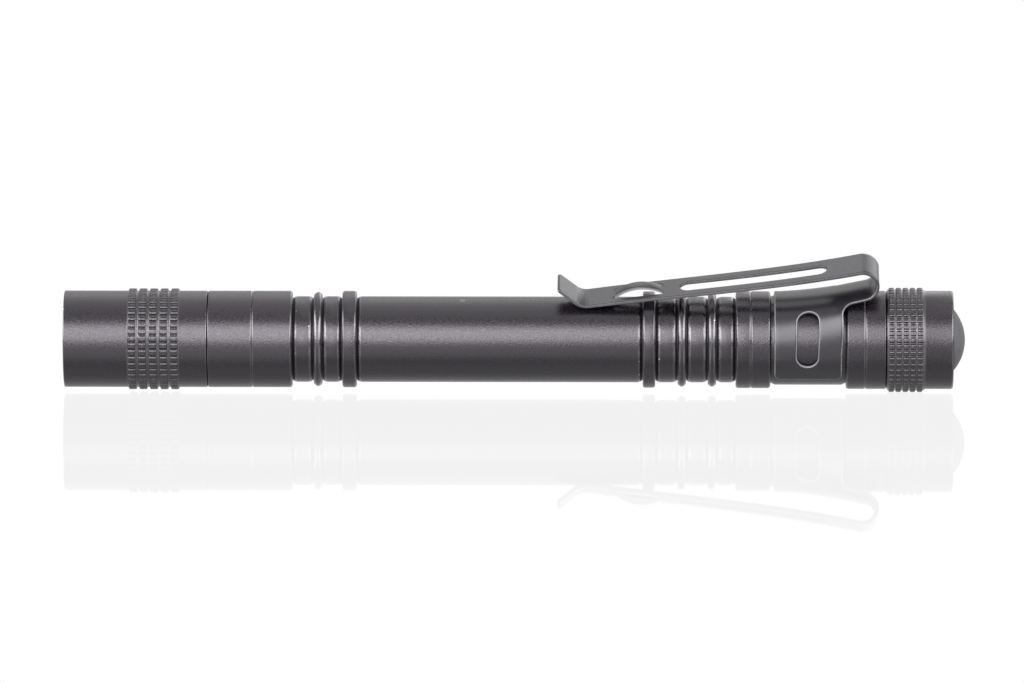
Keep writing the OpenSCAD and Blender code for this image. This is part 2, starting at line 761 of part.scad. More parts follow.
module switch_boot() {
    color("#47464b") lay() {
        difference() {
            union() {
                drum(boot_z, boot_z + boot_flange_t, button_r + boot_flange_reach);
                drum(boot_z, button_top, button_r);
                intersection() {
                    translate([0, 0, dome_z]) sphere(r = dome_r);
                    drum(button_top - lap, overall_len + over, button_r);
                }
            }
            drum(boot_z - over, button_top - boot_wall, button_r - boot_wall);
        }
        drum(boot_z, button_top - boot_wall + lap, boot_post_d / 2);
    }
}

module switch_plunger() {
    color("#d9d4c6") lay() {
        drum(plunger_z, boot_z, plunger_d / 2, edge, edge);
        drum(collar_z, collar_z + collar_t, collar_d / 2);
    }
}

module clip_band() {
    color("#55545a") clip_place() {
        difference() {
            ring(band_z, band_end, band_r + clip_t, band_r);
            translate([0, 0, band_z - over])
                linear_extrude(band_end - band_z + 2 * over)
                    polygon(concat([[0, 0]], [for (i = [0 : fan_steps])
                        let (a = band_half_angle + (360 - 2 * band_half_angle) * i / fan_steps)
                        2 * tail_r * [cos(a), sin(a)]]));
            for (side = [-1, 1])
                rotate([0, 0, side * window_angle])
                    translate([0, 0, (band_z + band_end) / 2])
                        rotate([90, 0, 0])
                            window(-window_len / 2, window_len / 2, window_w);
        }
        strip(clip_w) {
            straight(neck_foot, neck_top);
            difference() {
                bent(fold, fold_r, 90, 180 - neck_angle);
                translate(fold - [flex_gap / 2, 0]) square([fold_outer_r, fold_outer_r + over]);
            }
        }
    }
}

module clip_arm() {
    bridge_hole = bridge_len * cos(arm_angle);
    bridge_cut = bridge_w + 2 * bridge_slit;
    color("#55545a") clip_place() {
        difference() {
            intersection() {
                strip(clip_w) {
                    difference() {
                        bent(fold, fold_r, -arm_angle, 90);
                        translate(fold - [fold_outer_r, 0])
                            square([fold_outer_r + flex_gap / 2, fold_outer_r + over]);
                    }
                    straight(arm_rear, arm_front);
                    bent(bend, tip_bend_r, 180 - arm_angle, 180 + flare_angle);
                    straight(flare_foot, flare_tip);
                }
                rotate([0, 90, 0])
                    linear_extrude(2 * fold[0])
                        polygon([
                            [-fold[1] - 2 * fold_outer_r, -clip_w / 2], [-fold[1], -clip_w / 2],
                            [-flare_tip[1] + over, -clip_tip_w / 2], [-flare_tip[1] + over, clip_tip_w / 2],
                            [-fold[1], clip_w / 2], [-fold[1] - 2 * fold_outer_r, clip_w / 2]
                        ]);
            }
            window(bridge_rear[1] + slot_gap, fold[1] - slot_at, slot_w);
            translate([bend[0] - tip_bend_r - clip_t, -bridge_cut / 2, bridge_mid[1] - bridge_hole / 2])
                cube([fold[0], bridge_cut, bridge_hole]);
        }
        strip(bridge_w)
            bent(bridge_centre, bridge_r, -arm_angle - bridge_half, -arm_angle + bridge_half);
    }
}

head_bezel();
lens_seal();
front_lens();
reflector();
head_oring();
barrel();
led_pill();
led_board();
led_emitter();
led_dome();
led_ring();
led_leads();
driver_board();
driver_contact();
front_cell();
rear_cell();
tail_oring();
tail_cap();
retaining_ring();
switch_housing();
switch_board();
switch_contact();
tail_spring();
switch_spring();
switch_boot();
switch_plunger();
clip_band();
clip_arm();
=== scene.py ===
# %% [markdown]
# # A penlight, from its solids to its looks
# The light is turned from aluminium bar, blasted and dyed black, with a clip bent from spring steel and a rubber
# button in its tail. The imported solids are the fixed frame. This lesson builds finer pieces over the ones that
# show, gives every solid a finish, and sets a white studio round it.

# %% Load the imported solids
from collections import namedtuple
from math import asin, cos, floor, pi, radians, sin, sqrt, tan

import bmesh
import bpy
from mathutils import Matrix, Vector


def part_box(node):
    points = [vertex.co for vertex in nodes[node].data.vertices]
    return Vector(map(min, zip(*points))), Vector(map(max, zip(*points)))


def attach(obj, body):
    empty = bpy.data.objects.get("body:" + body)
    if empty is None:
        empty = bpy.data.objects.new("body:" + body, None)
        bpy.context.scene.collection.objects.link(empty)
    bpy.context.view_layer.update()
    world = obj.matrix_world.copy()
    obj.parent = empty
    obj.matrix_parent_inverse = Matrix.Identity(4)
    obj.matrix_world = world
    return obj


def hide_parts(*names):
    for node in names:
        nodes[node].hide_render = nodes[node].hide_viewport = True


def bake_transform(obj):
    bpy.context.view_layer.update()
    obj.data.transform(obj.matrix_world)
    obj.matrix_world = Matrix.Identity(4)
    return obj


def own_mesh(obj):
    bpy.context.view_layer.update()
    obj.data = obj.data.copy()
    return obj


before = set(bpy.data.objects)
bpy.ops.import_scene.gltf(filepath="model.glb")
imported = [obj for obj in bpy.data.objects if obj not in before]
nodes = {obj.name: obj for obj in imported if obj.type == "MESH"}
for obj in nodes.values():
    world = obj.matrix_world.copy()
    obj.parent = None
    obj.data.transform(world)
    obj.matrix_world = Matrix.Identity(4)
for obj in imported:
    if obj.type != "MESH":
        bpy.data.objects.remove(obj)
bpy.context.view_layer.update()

# %% [markdown]
# ## One way to say where things are
# Every turned piece is described by stations in millimetres from the front rim and by radii from the axis, as on a
# turner's drawing. The rim and the axis are read from the solids, so the pieces can't drift away from them.

# %% Rim, axis and a point on a profile
MM = 0.001
front_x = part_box("head_bezel")[0].x
barrel_low, barrel_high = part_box("barrel")
axis_z = (barrel_low.z + barrel_high.z) / 2
axis_point = Vector((0.0, 0.0, axis_z))
axis_line = Vector((1.0, 0.0, 0.0))


def place(station, radius):
    """A point of a turned profile, above the axis, in the row frame."""
    return Vector((front_x + station * MM, 0.0, axis_z + radius * MM))


print("rim at", round(front_x / MM, 3), "mm, axis", round(axis_z / MM, 3), "mm above the surface")

# %% [markdown]
# ## Effects that several finishes share
# Grain, rubbed edges, dust and lathe marks turn up on more than one material, so each is a node group that is built
# once. A group could hold a whole material, but then every finish would look the same. Here it gives out only masks
# and heights, and each material decides what they do.


# %% A node group with named sockets
def new_group(name, inputs, outputs):
    """An empty shader group with float inputs and outputs, and its two end nodes."""
    group = bpy.data.node_groups.new(name, "ShaderNodeTree")
    for label, value in inputs.items():
        group.interface.new_socket(label, in_out="INPUT", socket_type="NodeSocketFloat").default_value = value
    for label in outputs:
        group.interface.new_socket(label, in_out="OUTPUT", socket_type="NodeSocketFloat")
    return group, group.nodes.new("NodeGroupInput"), group.nodes.new("NodeGroupOutput")


def add_node(tree, kind, values=None, **settings):
    """A node with its settings made and its sockets either linked or set."""
    made = tree.nodes.new("ShaderNode" + kind)
    for key, value in settings.items():
        setattr(made, key, value)
    for key, value in (values or {}).items():
        if isinstance(value, bpy.types.NodeSocket):
            tree.links.new(value, made.inputs[key])
        else:
            made.inputs[key].default_value = value
    return made


def ramp(tree, value, low, high, to_low=0.0, to_high=1.0):
    """The value stretched from one span to another, and kept inside it."""
    return add_node(tree, "MapRange", {0: value, 1: low, 2: high, 3: to_low, 4: to_high}).outputs[0]


def times(tree, a, b):
    return add_node(tree, "Math", {0: a, 1: b}, operation="MULTIPLY").outputs[0]


def object_place(tree):
    return add_node(tree, "TexCoord").outputs["Object"]


def noise(tree, scale, detail, vector=None):
    """Noise from 0 to 1, over the piece's own coordinates if no others are given."""
    vector = object_place(tree) if vector is None else vector
    return add_node(tree, "TexNoise", {"Vector": vector, "Scale": scale, "Detail": detail}).outputs["Fac"]


# %% Grain, rubbed edges, dust and lathe marks
grain, ends_in, ends_out = new_group("blasted_grain", {"Scale": 6000.0}, ["Shade", "Mottle"])
fine, broad = noise(grain, ends_in.outputs["Scale"], 2.0), noise(grain, 420.0, 3.0)
grain.links.new(ramp(grain, fine, 0.3, 0.7), ends_out.inputs["Shade"])
grain.links.new(ramp(grain, broad, 0.3, 0.7), ends_out.inputs["Mottle"])

rubbed, ends_in, ends_out = new_group("rubbed_edges", {"Scale": 900.0, "Start": 0.6}, ["Edge", "Bare"])
edge_mark = add_node(rubbed, "Attribute", attribute_name="edge").outputs["Fac"]
patches = noise(rubbed, ends_in.outputs["Scale"], 3.0)
past = add_node(rubbed, "Math", {0: patches, 1: ends_in.outputs["Start"]}, operation="SUBTRACT")
rubbed.links.new(edge_mark, ends_out.inputs["Edge"])
rubbed.links.new(times(rubbed, edge_mark, ramp(rubbed, past.outputs[0], 0.0, 0.06)), ends_out.inputs["Bare"])

dust, ends_in, ends_out = new_group("dust_specks", {"Scale": 700.0, "Share": 0.1}, ["Speck"])
cells = add_node(dust, "TexVoronoi", {"Vector": object_place(dust), "Scale": ends_in.outputs["Scale"]})
chance = add_node(dust, "SeparateColor", {0: cells.outputs["Color"]}).outputs[0]
chosen = add_node(dust, "Math", {0: chance, 1: ends_in.outputs["Share"]}, operation="LESS_THAN").outputs[0]
spot = ramp(dust, cells.outputs["Distance"], 0.09, 0.16, 1.0, 0.0)
dust.links.new(times(dust, chosen, spot), ends_out.inputs["Speck"])

lathe, ends_in, ends_out = new_group("lathe_marks", {"Scale": 900.0}, ["Ring"])
stretch = add_node(lathe, "Mapping", {"Vector": object_place(lathe), "Scale": (1.0, 0.01, 0.01)})
rings = noise(lathe, ends_in.outputs["Scale"], 2.0, stretch.outputs[0])
lathe.links.new(ramp(lathe, rings, 0.3, 0.7), ends_out.inputs["Ring"])
print("groups:", [g.name for g in bpy.data.node_groups])

# %% [markdown]
# ## Finishes
# The body is dyed aluminium. The dye sits in a clear oxide layer, so it shines like a dark glaze and not like bare
# metal: a low base colour, no metallic share, and a satin roughness from the blasting. On its edges the dye is thin
# and burnished, so they are a dark metal, with bare patches where they were rubbed. The clip has a dark coating too.
# It was sheared after coating, so its edges are bare, and the shears left them dull: they scatter the light, where the
# body's burnished edges mirror it.


# %% Helpers for a finish
def new_finish(name, **sockets):
    """A material, its node tree and its shader, with the shader's fixed values set on its own sockets."""
    material = bpy.data.materials.new(name)
    material.use_nodes = True
    shader = material.node_tree.nodes["Principled BSDF"]
    for key, value in sockets.items():
        shader.inputs[key.replace("_", " ")].default_value = value
    return material, material.node_tree, shader


def effect(tree, group, **values):
    """A shared effect placed in a material with its own values."""
    made = add_node(tree, "Group", node_tree=group)
    for key, value in values.items():
        made.inputs[key].default_value = value
    return made.outputs


def between(tree, share, a, b):
    """One colour fading into another by a mask. A colour is a plain one or another node's."""
    mix = tree.nodes.new("ShaderNodeMix")
    mix.data_type = "RGBA"
    tree.links.new(share, mix.inputs[0])
    for socket, colour in ((mix.inputs[6], a), (mix.inputs[7], b)):
        if isinstance(colour, bpy.types.NodeSocket):
            tree.links.new(colour, socket)
        else:
            socket.default_value = (*colour, 1.0)
    return mix.outputs[2]


def feed(tree, shader, **sources):
    for key, source in sources.items():
        tree.links.new(source, shader.inputs[key.replace("_", " ")])


def relief(tree, shader, height, depth_mm, strength):
    """Fine relief on the surface, from a height that varies between 0 and 1."""
    bump = add_node(tree, "Bump", {"Strength": strength, "Distance": depth_mm * MM, "Height": height})
    tree.links.new(bump.outputs[0], shader.inputs["Normal"])


# %% Dyed aluminium for the head, the barrel and the tail cap
anodised, tree, shader = new_finish("dyed_aluminium", IOR=1.47, Specular_Tint=(0.98, 0.92, 1.0, 1.0))
sand = effect(tree, grain, Scale=4300.0)
worn = effect(tree, rubbed, Scale=1300.0, Start=0.7)
specks = effect(tree, dust, Scale=260.0, Share=0.05)["Speck"]
dye = between(tree, sand["Shade"], (0.0004, 0.0002, 0.0005), (0.0026, 0.0016, 0.003))
dye = between(tree, specks, dye, (0.03, 0.028, 0.03))
dye = between(tree, worn["Edge"], dye, (0.07, 0.0665, 0.0714))
feed(tree, shader, Base_Color=between(tree, worn["Bare"], dye, (0.5, 0.49, 0.48)), Metallic=worn["Edge"])
satin = ramp(tree, sand["Shade"], 0.0, 1.0, 0.24, 0.39)
smoother = ramp(tree, worn["Edge"], 0.0, 1.0, 1.0, 0.7)
feed(tree, shader, Roughness=times(tree, satin, smoother))
relief(tree, shader, sand["Shade"], 0.013, 0.75)

# %% Coated spring steel for the clip
clip_coat, tree, shader = new_finish("coated_spring_steel", IOR=1.47, Specular_Tint=(0.97, 0.94, 1.0, 1.0))
sand = effect(tree, grain, Scale=4200.0)
worn = effect(tree, rubbed, Scale=700.0, Start=0.5)
specks = effect(tree, dust, Scale=420.0, Share=0.03)["Speck"]
coat = between(tree, sand["Mottle"], (0.0016, 0.0014, 0.002), (0.0034, 0.003, 0.004))
coat = between(tree, specks, coat, (0.05, 0.048, 0.052))
# The rim mark turns the coat to bare steel. On the clip its share also carries a painted highlight by the bridge and
# painted shade round the fold and at the tip.
coat = between(tree, worn["Edge"], coat, (0.3, 0.29, 0.306))
feed(tree, shader, Base_Color=between(tree, worn["Bare"], coat, (0.14, 0.136, 0.142)))
gloss = ramp(tree, sand["Shade"], 0.0, 1.0, 0.29, 0.37)
feed(tree, shader, Roughness=times(tree, gloss, ramp(tree, worn["Edge"], 0.0, 1.0, 1.0, 1.3)))
relief(tree, shader, sand["Shade"], 0.01, 0.15)

# %% Moulded rubber for the button, and the seals
rubber, tree, shader = new_finish("moulded_rubber", IOR=1.45)
sand = effect(tree, grain, Scale=3800.0)
specks = effect(tree, dust, Scale=520.0, Share=0.08)["Speck"]
skin = between(tree, sand["Mottle"], (0.019, 0.0181, 0.02), (0.026, 0.0248, 0.0275))
feed(tree, shader, Base_Color=between(tree, specks, skin, (0.24, 0.235, 0.24)))
feed(tree, shader, Roughness=ramp(tree, sand["Shade"], 0.0, 1.0, 0.62, 0.8))
relief(tree, shader, sand["Shade"], 0.02, 0.3)

seal_rubber, tree, shader = new_finish("seal_rubber", IOR=1.5)
sand = effect(tree, grain, Scale=3000.0)
feed(tree, shader, Base_Color=between(tree, sand["Mottle"], (0.008, 0.008, 0.009), (0.016, 0.016, 0.017)))
feed(tree, shader, Roughness=ramp(tree, sand["Shade"], 0.0, 1.0, 0.35, 0.5))
print("body finishes:", anodised.name, clip_coat.name, rubber.name, seal_rubber.name)


# %% [markdown]
# ## Finishes inside the light
# These pieces show only when the head or the tail comes off, or through the lens. They still get the finish of what
# they are: turned brass, green and white boards, wrapped cells and plated wire.


# %% Metals, boards, plastics and glass
def metal_finish(name, dark, pale, low, high, marks=900.0):
    """Turned or drawn metal, with lathe marks in its colour, its gloss and its relief."""
    material, tree, shader = new_finish(name, Metallic=1.0)
    ring = effect(tree, lathe, Scale=marks)["Ring"]
    feed(tree, shader, Base_Color=between(tree, ring, dark, pale), Roughness=ramp(tree, ring, 0.0, 1.0, low, high))
    relief(tree, shader, ring, 0.006, 0.3)
    return material


def moulded_finish(name, dark, pale, low=0.4, high=0.55):
    """Moulded plastic, board or ceramic, with a slight mottle."""
    material, tree, shader = new_finish(name, IOR=1.5)
    sand = effect(tree, grain, Scale=2600.0)
    feed(tree, shader, Base_Color=between(tree, sand["Mottle"], dark, pale))
    feed(tree, shader, Roughness=ramp(tree, sand["Shade"], 0.0, 1.0, low, high))
    relief(tree, shader, sand["Shade"], 0.008, 0.2)
    return material


brass = metal_finish("turned_brass", (0.52, 0.35, 0.13), (0.68, 0.5, 0.22), 0.2, 0.34)
wire_steel = metal_finish("plated_wire", (0.5, 0.49, 0.46), (0.68, 0.67, 0.64), 0.2, 0.32)
bright_bowl = metal_finish("bright_bowl", (0.86, 0.86, 0.87), (0.93, 0.93, 0.94), 0.05, 0.1, 1400.0)
white_mask = moulded_finish("white_board", (0.7, 0.69, 0.65), (0.8, 0.79, 0.75))
green_mask = moulded_finish("green_board", (0.012, 0.07, 0.025), (0.025, 0.12, 0.045), 0.3, 0.4)
ceramic = moulded_finish("pale_ceramic", (0.68, 0.65, 0.55), (0.78, 0.75, 0.66))
white_plastic = moulded_finish("white_plastic", (0.66, 0.65, 0.6), (0.74, 0.73, 0.69))
black_plastic = moulded_finish("black_plastic", (0.012, 0.012, 0.013), (0.024, 0.024, 0.026))
red_lead = moulded_finish("red_lead", (0.33, 0.02, 0.012), (0.42, 0.035, 0.02))
phosphor = moulded_finish("yellow_phosphor", (0.78, 0.52, 0.05), (0.86, 0.62, 0.09), 0.12, 0.2)

lens_glass, tree, shader = new_finish("clear_lens", IOR=1.5, Transmission_Weight=1.0, Base_Color=(0.95, 0.97, 1.0, 1.0))
haze = effect(tree, dust, Scale=900.0, Share=0.05)["Speck"]
feed(tree, shader, Roughness=ramp(tree, haze, 0.0, 1.0, 0.0, 0.25))

cell_wrap, tree, shader = new_finish("plain_cell_wrap", IOR=1.5, Metallic=0.35)
lathe_ring = effect(tree, lathe, Scale=500.0)["Ring"]
wrap = between(tree, lathe_ring, (0.25, 0.15, 0.05), (0.32, 0.2, 0.07))
feed(tree, shader, Base_Color=wrap, Roughness=ramp(tree, lathe_ring, 0.0, 1.0, 0.25, 0.35))
print("finishes so far:", len(bpy.data.materials))

# %% Every solid gets its finish
NODE_FINISHES = {
    lens_glass: ["front_lens"],
    seal_rubber: ["lens_seal", "head_oring", "tail_oring"],
    brass: ["led_pill", "driver_contact", "retaining_ring", "switch_contact"],
    white_mask: ["led_board"],
    ceramic: ["led_emitter"],
    phosphor: ["led_dome"],
    white_plastic: ["led_ring", "switch_plunger"],
    red_lead: ["led_leads"],
    green_mask: ["driver_board", "switch_board"],
    cell_wrap: ["front_cell", "rear_cell"],
    black_plastic: ["switch_housing"],
}
for finish, names in NODE_FINISHES.items():
    for name in names:
        nodes[name].data.materials.clear()
        nodes[name].data.materials.append(finish)
print("finished solids:", sum(len(names) for names in NODE_FINISHES.values()))

# %% [markdown]
# ## Turning a profile
# A turned piece could start from a cylinder with loops cut into it, but a lathe works the other way: it moves one
# profile round the axis. The spin operator does the same. Each corner of the profile carries its rounding, and after
# the spin the rings of edges at those corners are bevelled. The new faces on outer corners are marked, and so are the
# stretches that the turner burnished, so that the finish can show metal there and nowhere else.

# %% Spin, bevel and mark
TURN_STEPS = 168
FINE = 0.045


def round_off(bm, geom, offset, segments, affect="EDGES", clamp=True):
    """Breaks edges, or rounds the corner points of an outline, and gives back the new faces."""
    return bmesh.ops.bevel(bm, geom=geom, offset=offset, offset_type="OFFSET", segments=segments, profile=0.5,
                           affect=affect, clamp_overlap=clamp, material=-1)["faces"]


def ring_edges(bm, corner, wanted, outer):
    """The rings of edges at the wanted corners that are outer ones, or that are inner ones."""
    return [e for e in bm.edges if len(e.link_faces) == 2 and e.is_convex == outer
            and e.verts[0][corner] == e.verts[1][corner] and e.verts[0][corner] in wanted]


def turned(profile, closed=True, burnished=()):
    """The profile turned round the axis, as a bmesh.

    A corner is a station, a radius and, where it has one, a rounding. A burnished stretch is its start, its end and
    the share that its faces are marked with.
    """
    profile = [(*point, 0.0)[:3] for point in profile]
    bm = bmesh.new()
    corner = bm.verts.layers.int.new("corner")
    line = [bm.verts.new(place(station, radius)) for station, radius, _ in profile]
    for i, vert in enumerate(line):
        vert[corner] = i
    for a, b in zip(line, line[1:] + line[:1] if closed else line[1:]):
        bm.edges.new((a, b))
    bmesh.ops.spin(bm, geom=bm.verts[:] + bm.edges[:], cent=axis_point, axis=axis_line,
                   angle=2 * pi, steps=TURN_STEPS, use_merge=True)
    bmesh.ops.remove_doubles(bm, verts=bm.verts[:], dist=1e-7)
    bmesh.ops.recalc_face_normals(bm, faces=bm.faces[:])
    edge = bm.faces.layers.float.new("edge")
    for face in bm.faces:
        station = (face.calc_center_median().x - front_x) / MM
        face[edge] = max([share for a, b, share in burnished if a < station < b], default=0.0)
    for rounding in sorted({r for _, _, r in profile if r > 0}):
        wanted = {i for i, (_, _, r) in enumerate(profile) if r == rounding}
        for outer in (True, False):
            rings = ring_edges(bm, corner, wanted, outer)
            for face in round_off(bm, rings, rounding * MM, 2):
                face[edge] = 1.0 if outer else 0.0
    return bm


def add_piece(bm, name, finish):
    """An object of this mesh at the origin, smooth, with normals that follow its large faces."""
    mesh = bpy.data.meshes.new(name)
    bm.to_mesh(mesh)
    bm.free()
    mesh.polygons.foreach_set("use_smooth", [True] * len(mesh.polygons))
    mesh.materials.append(finish)
    piece = bpy.data.objects.new(name, mesh)
    bpy.context.scene.collection.objects.link(piece)
    piece.modifiers.new("even_normals", "WEIGHTED_NORMAL").weight = 50
    print(name, "faces:", len(mesh.polygons))
    return piece


def settle(piece, body, slot, *replaced):
    """The piece moves with its body and stands for its solids, which it hides. Its slot is not used."""
    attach(piece, body)
    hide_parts(*replaced)


# %% [markdown]
# ## Teeth for the fingers
# The head and the tail cap are knurled: five turned ridges with notches milled across them. Cutting the notches would
# need a boolean with hundreds of cutters. It is easier to turn low ridges and to set teeth on them. One tooth is made
# from a cube, tapered and bevelled, and spun into a ring, and copies of that ring are shifted for the other rows.


# %% One tooth, spun into a ring and repeated in rows
KNURL_ROWS, KNURL_SHINE = 5, 0.5
TOOTH_SUNK, TOOTH_END, TOOTH_SHINE = 0.04, 0.03, 0.6
# The foot and the top of a ridge are half lengths, and those of a tooth its length and its width
Knurl = namedtuple("Knurl", "teeth pitch first_row base_r ridge_r tooth_r ridge_foot ridge_top "
                            "tooth_foot tooth_top rounding")


def join(bm, other):
    """Adds another bmesh to this one."""
    mesh = bpy.data.meshes.new("part")
    other.to_mesh(mesh)
    other.free()
    bm.from_mesh(mesh)
    bpy.data.meshes.remove(mesh)


def ridges(knurl):
    """The profile of the low ridges under the teeth."""
    line = []
    for z in (knurl.first_row + row * knurl.pitch for row in range(KNURL_ROWS)):
        line += [(z - knurl.ridge_foot, knurl.base_r), (z - knurl.ridge_top, knurl.ridge_r),
                 (z + knurl.ridge_top, knurl.ridge_r), (z + knurl.ridge_foot, knurl.base_r)]
    return line


def add_teeth(bm, knurl):
    """Rows of teeth on the ridges."""
    ring = bmesh.new()
    edge = ring.faces.layers.float.new("edge")
    bmesh.ops.create_cube(ring, size=2.0)
    for vert in ring.verts:
        upper = vert.co.z > 0
        length, width = knurl.tooth_top if upper else knurl.tooth_foot
        radius = knurl.tooth_r if upper else knurl.ridge_r - TOOTH_SUNK
        vert.co = place(knurl.first_row, radius) + Vector((vert.co.x * length, vert.co.y * width, 0.0)) * (MM / 2)
    crest = place(0, knurl.tooth_r).z - 1e-7
    along = [e for e in ring.edges if min(v.co.z for v in e.verts) > crest
             and abs(e.verts[0].co.x - e.verts[1].co.x) > abs(e.verts[0].co.y - e.verts[1].co.y)]
    for face in round_off(ring, along, knurl.rounding * MM, 3):
        face[edge] = TOOTH_SHINE
    foot_z = place(0, knurl.ridge_r).z
    ends = [e for e in ring.edges if max(v.co.z for v in e.verts) > foot_z
            and sum(abs(f.normal.x) > 0.8 for f in e.link_faces) == 1]
    round_off(ring, ends, TOOTH_END * MM, 1)
    bmesh.ops.spin(ring, geom=ring.verts[:] + ring.edges[:] + ring.faces[:], cent=axis_point, axis=axis_line,
                   angle=2 * pi * (knurl.teeth - 1) / knurl.teeth, steps=knurl.teeth - 1, use_duplicate=True)
    one_row = ring.verts[:] + ring.edges[:] + ring.faces[:]
    for row in range(1, KNURL_ROWS):
        copy = bmesh.ops.duplicate(ring, geom=one_row)["geom"]
        bmesh.ops.translate(ring, verts=[g for g in copy if isinstance(g, bmesh.types.BMVert)],
                            vec=(row * knurl.pitch * MM, 0.0, 0.0))
    join(bm, ring)


print("rows of teeth:", KNURL_ROWS)

# %% [markdown]
# ## The head
# The head is a tube with a lip that holds the lens. The front is plain, the teeth sit in the middle, and the rear end
# meets the barrel at a fine seam.

# %% Head
EDGE, FRONT, FRONT_EDGE = 0.22, 0.003, 0.1
HEAD_R, HEAD_SEAM, SEAM_GAP, SEAM_EDGE = 7.07, 21.1, 0.06, 0.17
RIM_R, RIM_LEN, LENS_BORE_R, LENS_BORE_END, HEAD_THREAD_R = 5.2, 1.0, 5.95, 11.6, 6.29
HEAD_KNURL = Knurl(
    teeth=44, pitch=1.55, first_row=10.05, base_r=HEAD_R, ridge_r=7.23, tooth_r=7.4, ridge_foot=0.72, ridge_top=0.57,
    tooth_foot=(1.14, 1.02), tooth_top=(0.98, 0.5), rounding=0.09)
head_rear = HEAD_SEAM - SEAM_GAP
head_line = [
    (FRONT, RIM_R, FINE), (FRONT, HEAD_R - FRONT_EDGE, FINE), (FRONT_EDGE, HEAD_R, FINE), *ridges(HEAD_KNURL),
    (HEAD_SEAM - SEAM_EDGE, HEAD_R, FINE), (head_rear, HEAD_R - EDGE / 2), (head_rear, HEAD_THREAD_R),
    (LENS_BORE_END, HEAD_THREAD_R), (LENS_BORE_END, LENS_BORE_R), (RIM_LEN, LENS_BORE_R), (RIM_LEN, RIM_R, FINE),
]
knurl_start = HEAD_KNURL.first_row - HEAD_KNURL.ridge_foot
knurl_end = HEAD_KNURL.first_row + (KNURL_ROWS - 1) * HEAD_KNURL.pitch + HEAD_KNURL.ridge_foot
head_mesh = turned(head_line, burnished=[(knurl_start, knurl_end, KNURL_SHINE)])
add_teeth(head_mesh, HEAD_KNURL)
head = add_piece(head_mesh, "knurled_head", anodised)
settle(head, "head", "black_anodised", "head_bezel")

# %% [markdown]
# ## The barrel
# Between the head and the tail the barrel has lands, flanges, beads and a recess for the clip. Beside each step the
# turner cut a relief groove and burnished a shallow chamfer on its lip, and those lips catch the light as bright
# bars. The profile is put together from those features, in order from the nose to the spigot and back through the
# bore, so each feature has its size in one place.

# %% Features of the barrel's profile
GRIP_R, GROOVE_R, GROOVE_FLOOR, LIP_START, LIP_END, LIP_DROP = 6.28, 5.96, 0.06, 0.33, 0.7, 0.085
BEAD_MID_R, BEAD_R, BEAD_HALF, BEAD_STEPS, FLANK_TOP, FLANK_FOOT = 6.26, 0.64, 0.62, 10, 0.22, 0.5
LINE_HALF, LINE_DEPTH = 0.17, 0.13


def land(z0, z1, radius, first, last, line=None):
    """A raised stretch with a chamfer at each end and, if it has a station, a fine line turned into it."""
    cut_in = []
    if line is not None:
        cut_in = [(line - LINE_HALF, radius, FINE), (line, radius - LINE_DEPTH, FINE), (line + LINE_HALF, radius, FINE)]
    return [(z0, radius - first, FINE), (z0 + first, radius, FINE), *cut_in,
            (z1 - last, radius, FINE), (z1, radius - last, FINE)]


lips = []


def groove(z, way):
    """A relief groove against the step at z, and the lip beside it. The way is +1 behind a step and -1 before one."""
    lips.append((*sorted((z + way * LIP_START, z + way * LIP_END)), 1.0))
    line = [(z, GROOVE_R), (z + way * GROOVE_FLOOR, GROOVE_R), (z + way * LIP_START, GRIP_R - LIP_DROP),
            (z + way * LIP_END, GRIP_R)]
    return line if way > 0 else line[::-1]


def bead(z):
    """A round bead with a relief groove on each side."""
    start = asin(BEAD_HALF / BEAD_R)
    arc = [start - 2 * start * i / BEAD_STEPS for i in range(BEAD_STEPS + 1)]
    lips.extend([(z - FLANK_FOOT, z - FLANK_TOP, 1.0), (z + FLANK_TOP, z + FLANK_FOOT, 1.0)])
    rise = [(z - BEAD_R * sin(a), BEAD_MID_R + BEAD_R * cos(a)) for a in arc]
    return groove(z - BEAD_HALF, -1) + rise + groove(z + BEAD_HALF, 1)


def flange(z0, z1):
    """A narrow land with a relief groove on each side."""
    return groove(z0, -1) + land(z0, z1, HEAD_R, EDGE, EDGE) + groove(z1, 1)


def ring_groove(start, end, floor_r, top_r):
    """A square groove for an O-ring."""
    return [(start, top_r, FINE), (start, floor_r), (end, floor_r), (end, top_r, FINE)]


# %% Barrel
REAR_LAND_R, TAIL_R, TAIL_SEAM = 7.1, 7.2, 120.41
HEAD_LAND_END, FRONT_FLANGE, REAR_FLANGE, REAR_LAND_START = 33.45, (40.8, 42.87), (84.8, 86.65), 98.43
FRONT_BEAD, MID_BEAD, REAR_BEAD = 37.22, 90.53, 94.96
HEAD_LINE, REAR_LINE, TAIL_LINE = 27.6, 100.64, 117.4
RECESS_R, RECESS_START, RECESS_END, UNDERCUT, UNDERCUT_LEN, UNDERCUT_FLOOR = 6.6, 103.5, 114.58, 0.24, 0.7, 0.1
NOSE_TIP, NOSE_R, NOSE_ROOT_R, NOSE_ROOT_END = 15.0, 6.22, 5.96, 19.2
SPIGOT_END, SPIGOT_R, SPIGOT_ROOT_R, SPIGOT_ROOT_START = 125.3, 6.45, 6.19, 122.6
HEAD_RING_GROOVE, TAIL_RING_GROOVE = (19.6, 20.55, 5.59), (121.35, 122.3, 5.85)
PILL_BORE_R, CELL_BORE_R, CELL_BORE_START = 4.74, 5.45, 23.6
undercut_r = RECESS_R - UNDERCUT
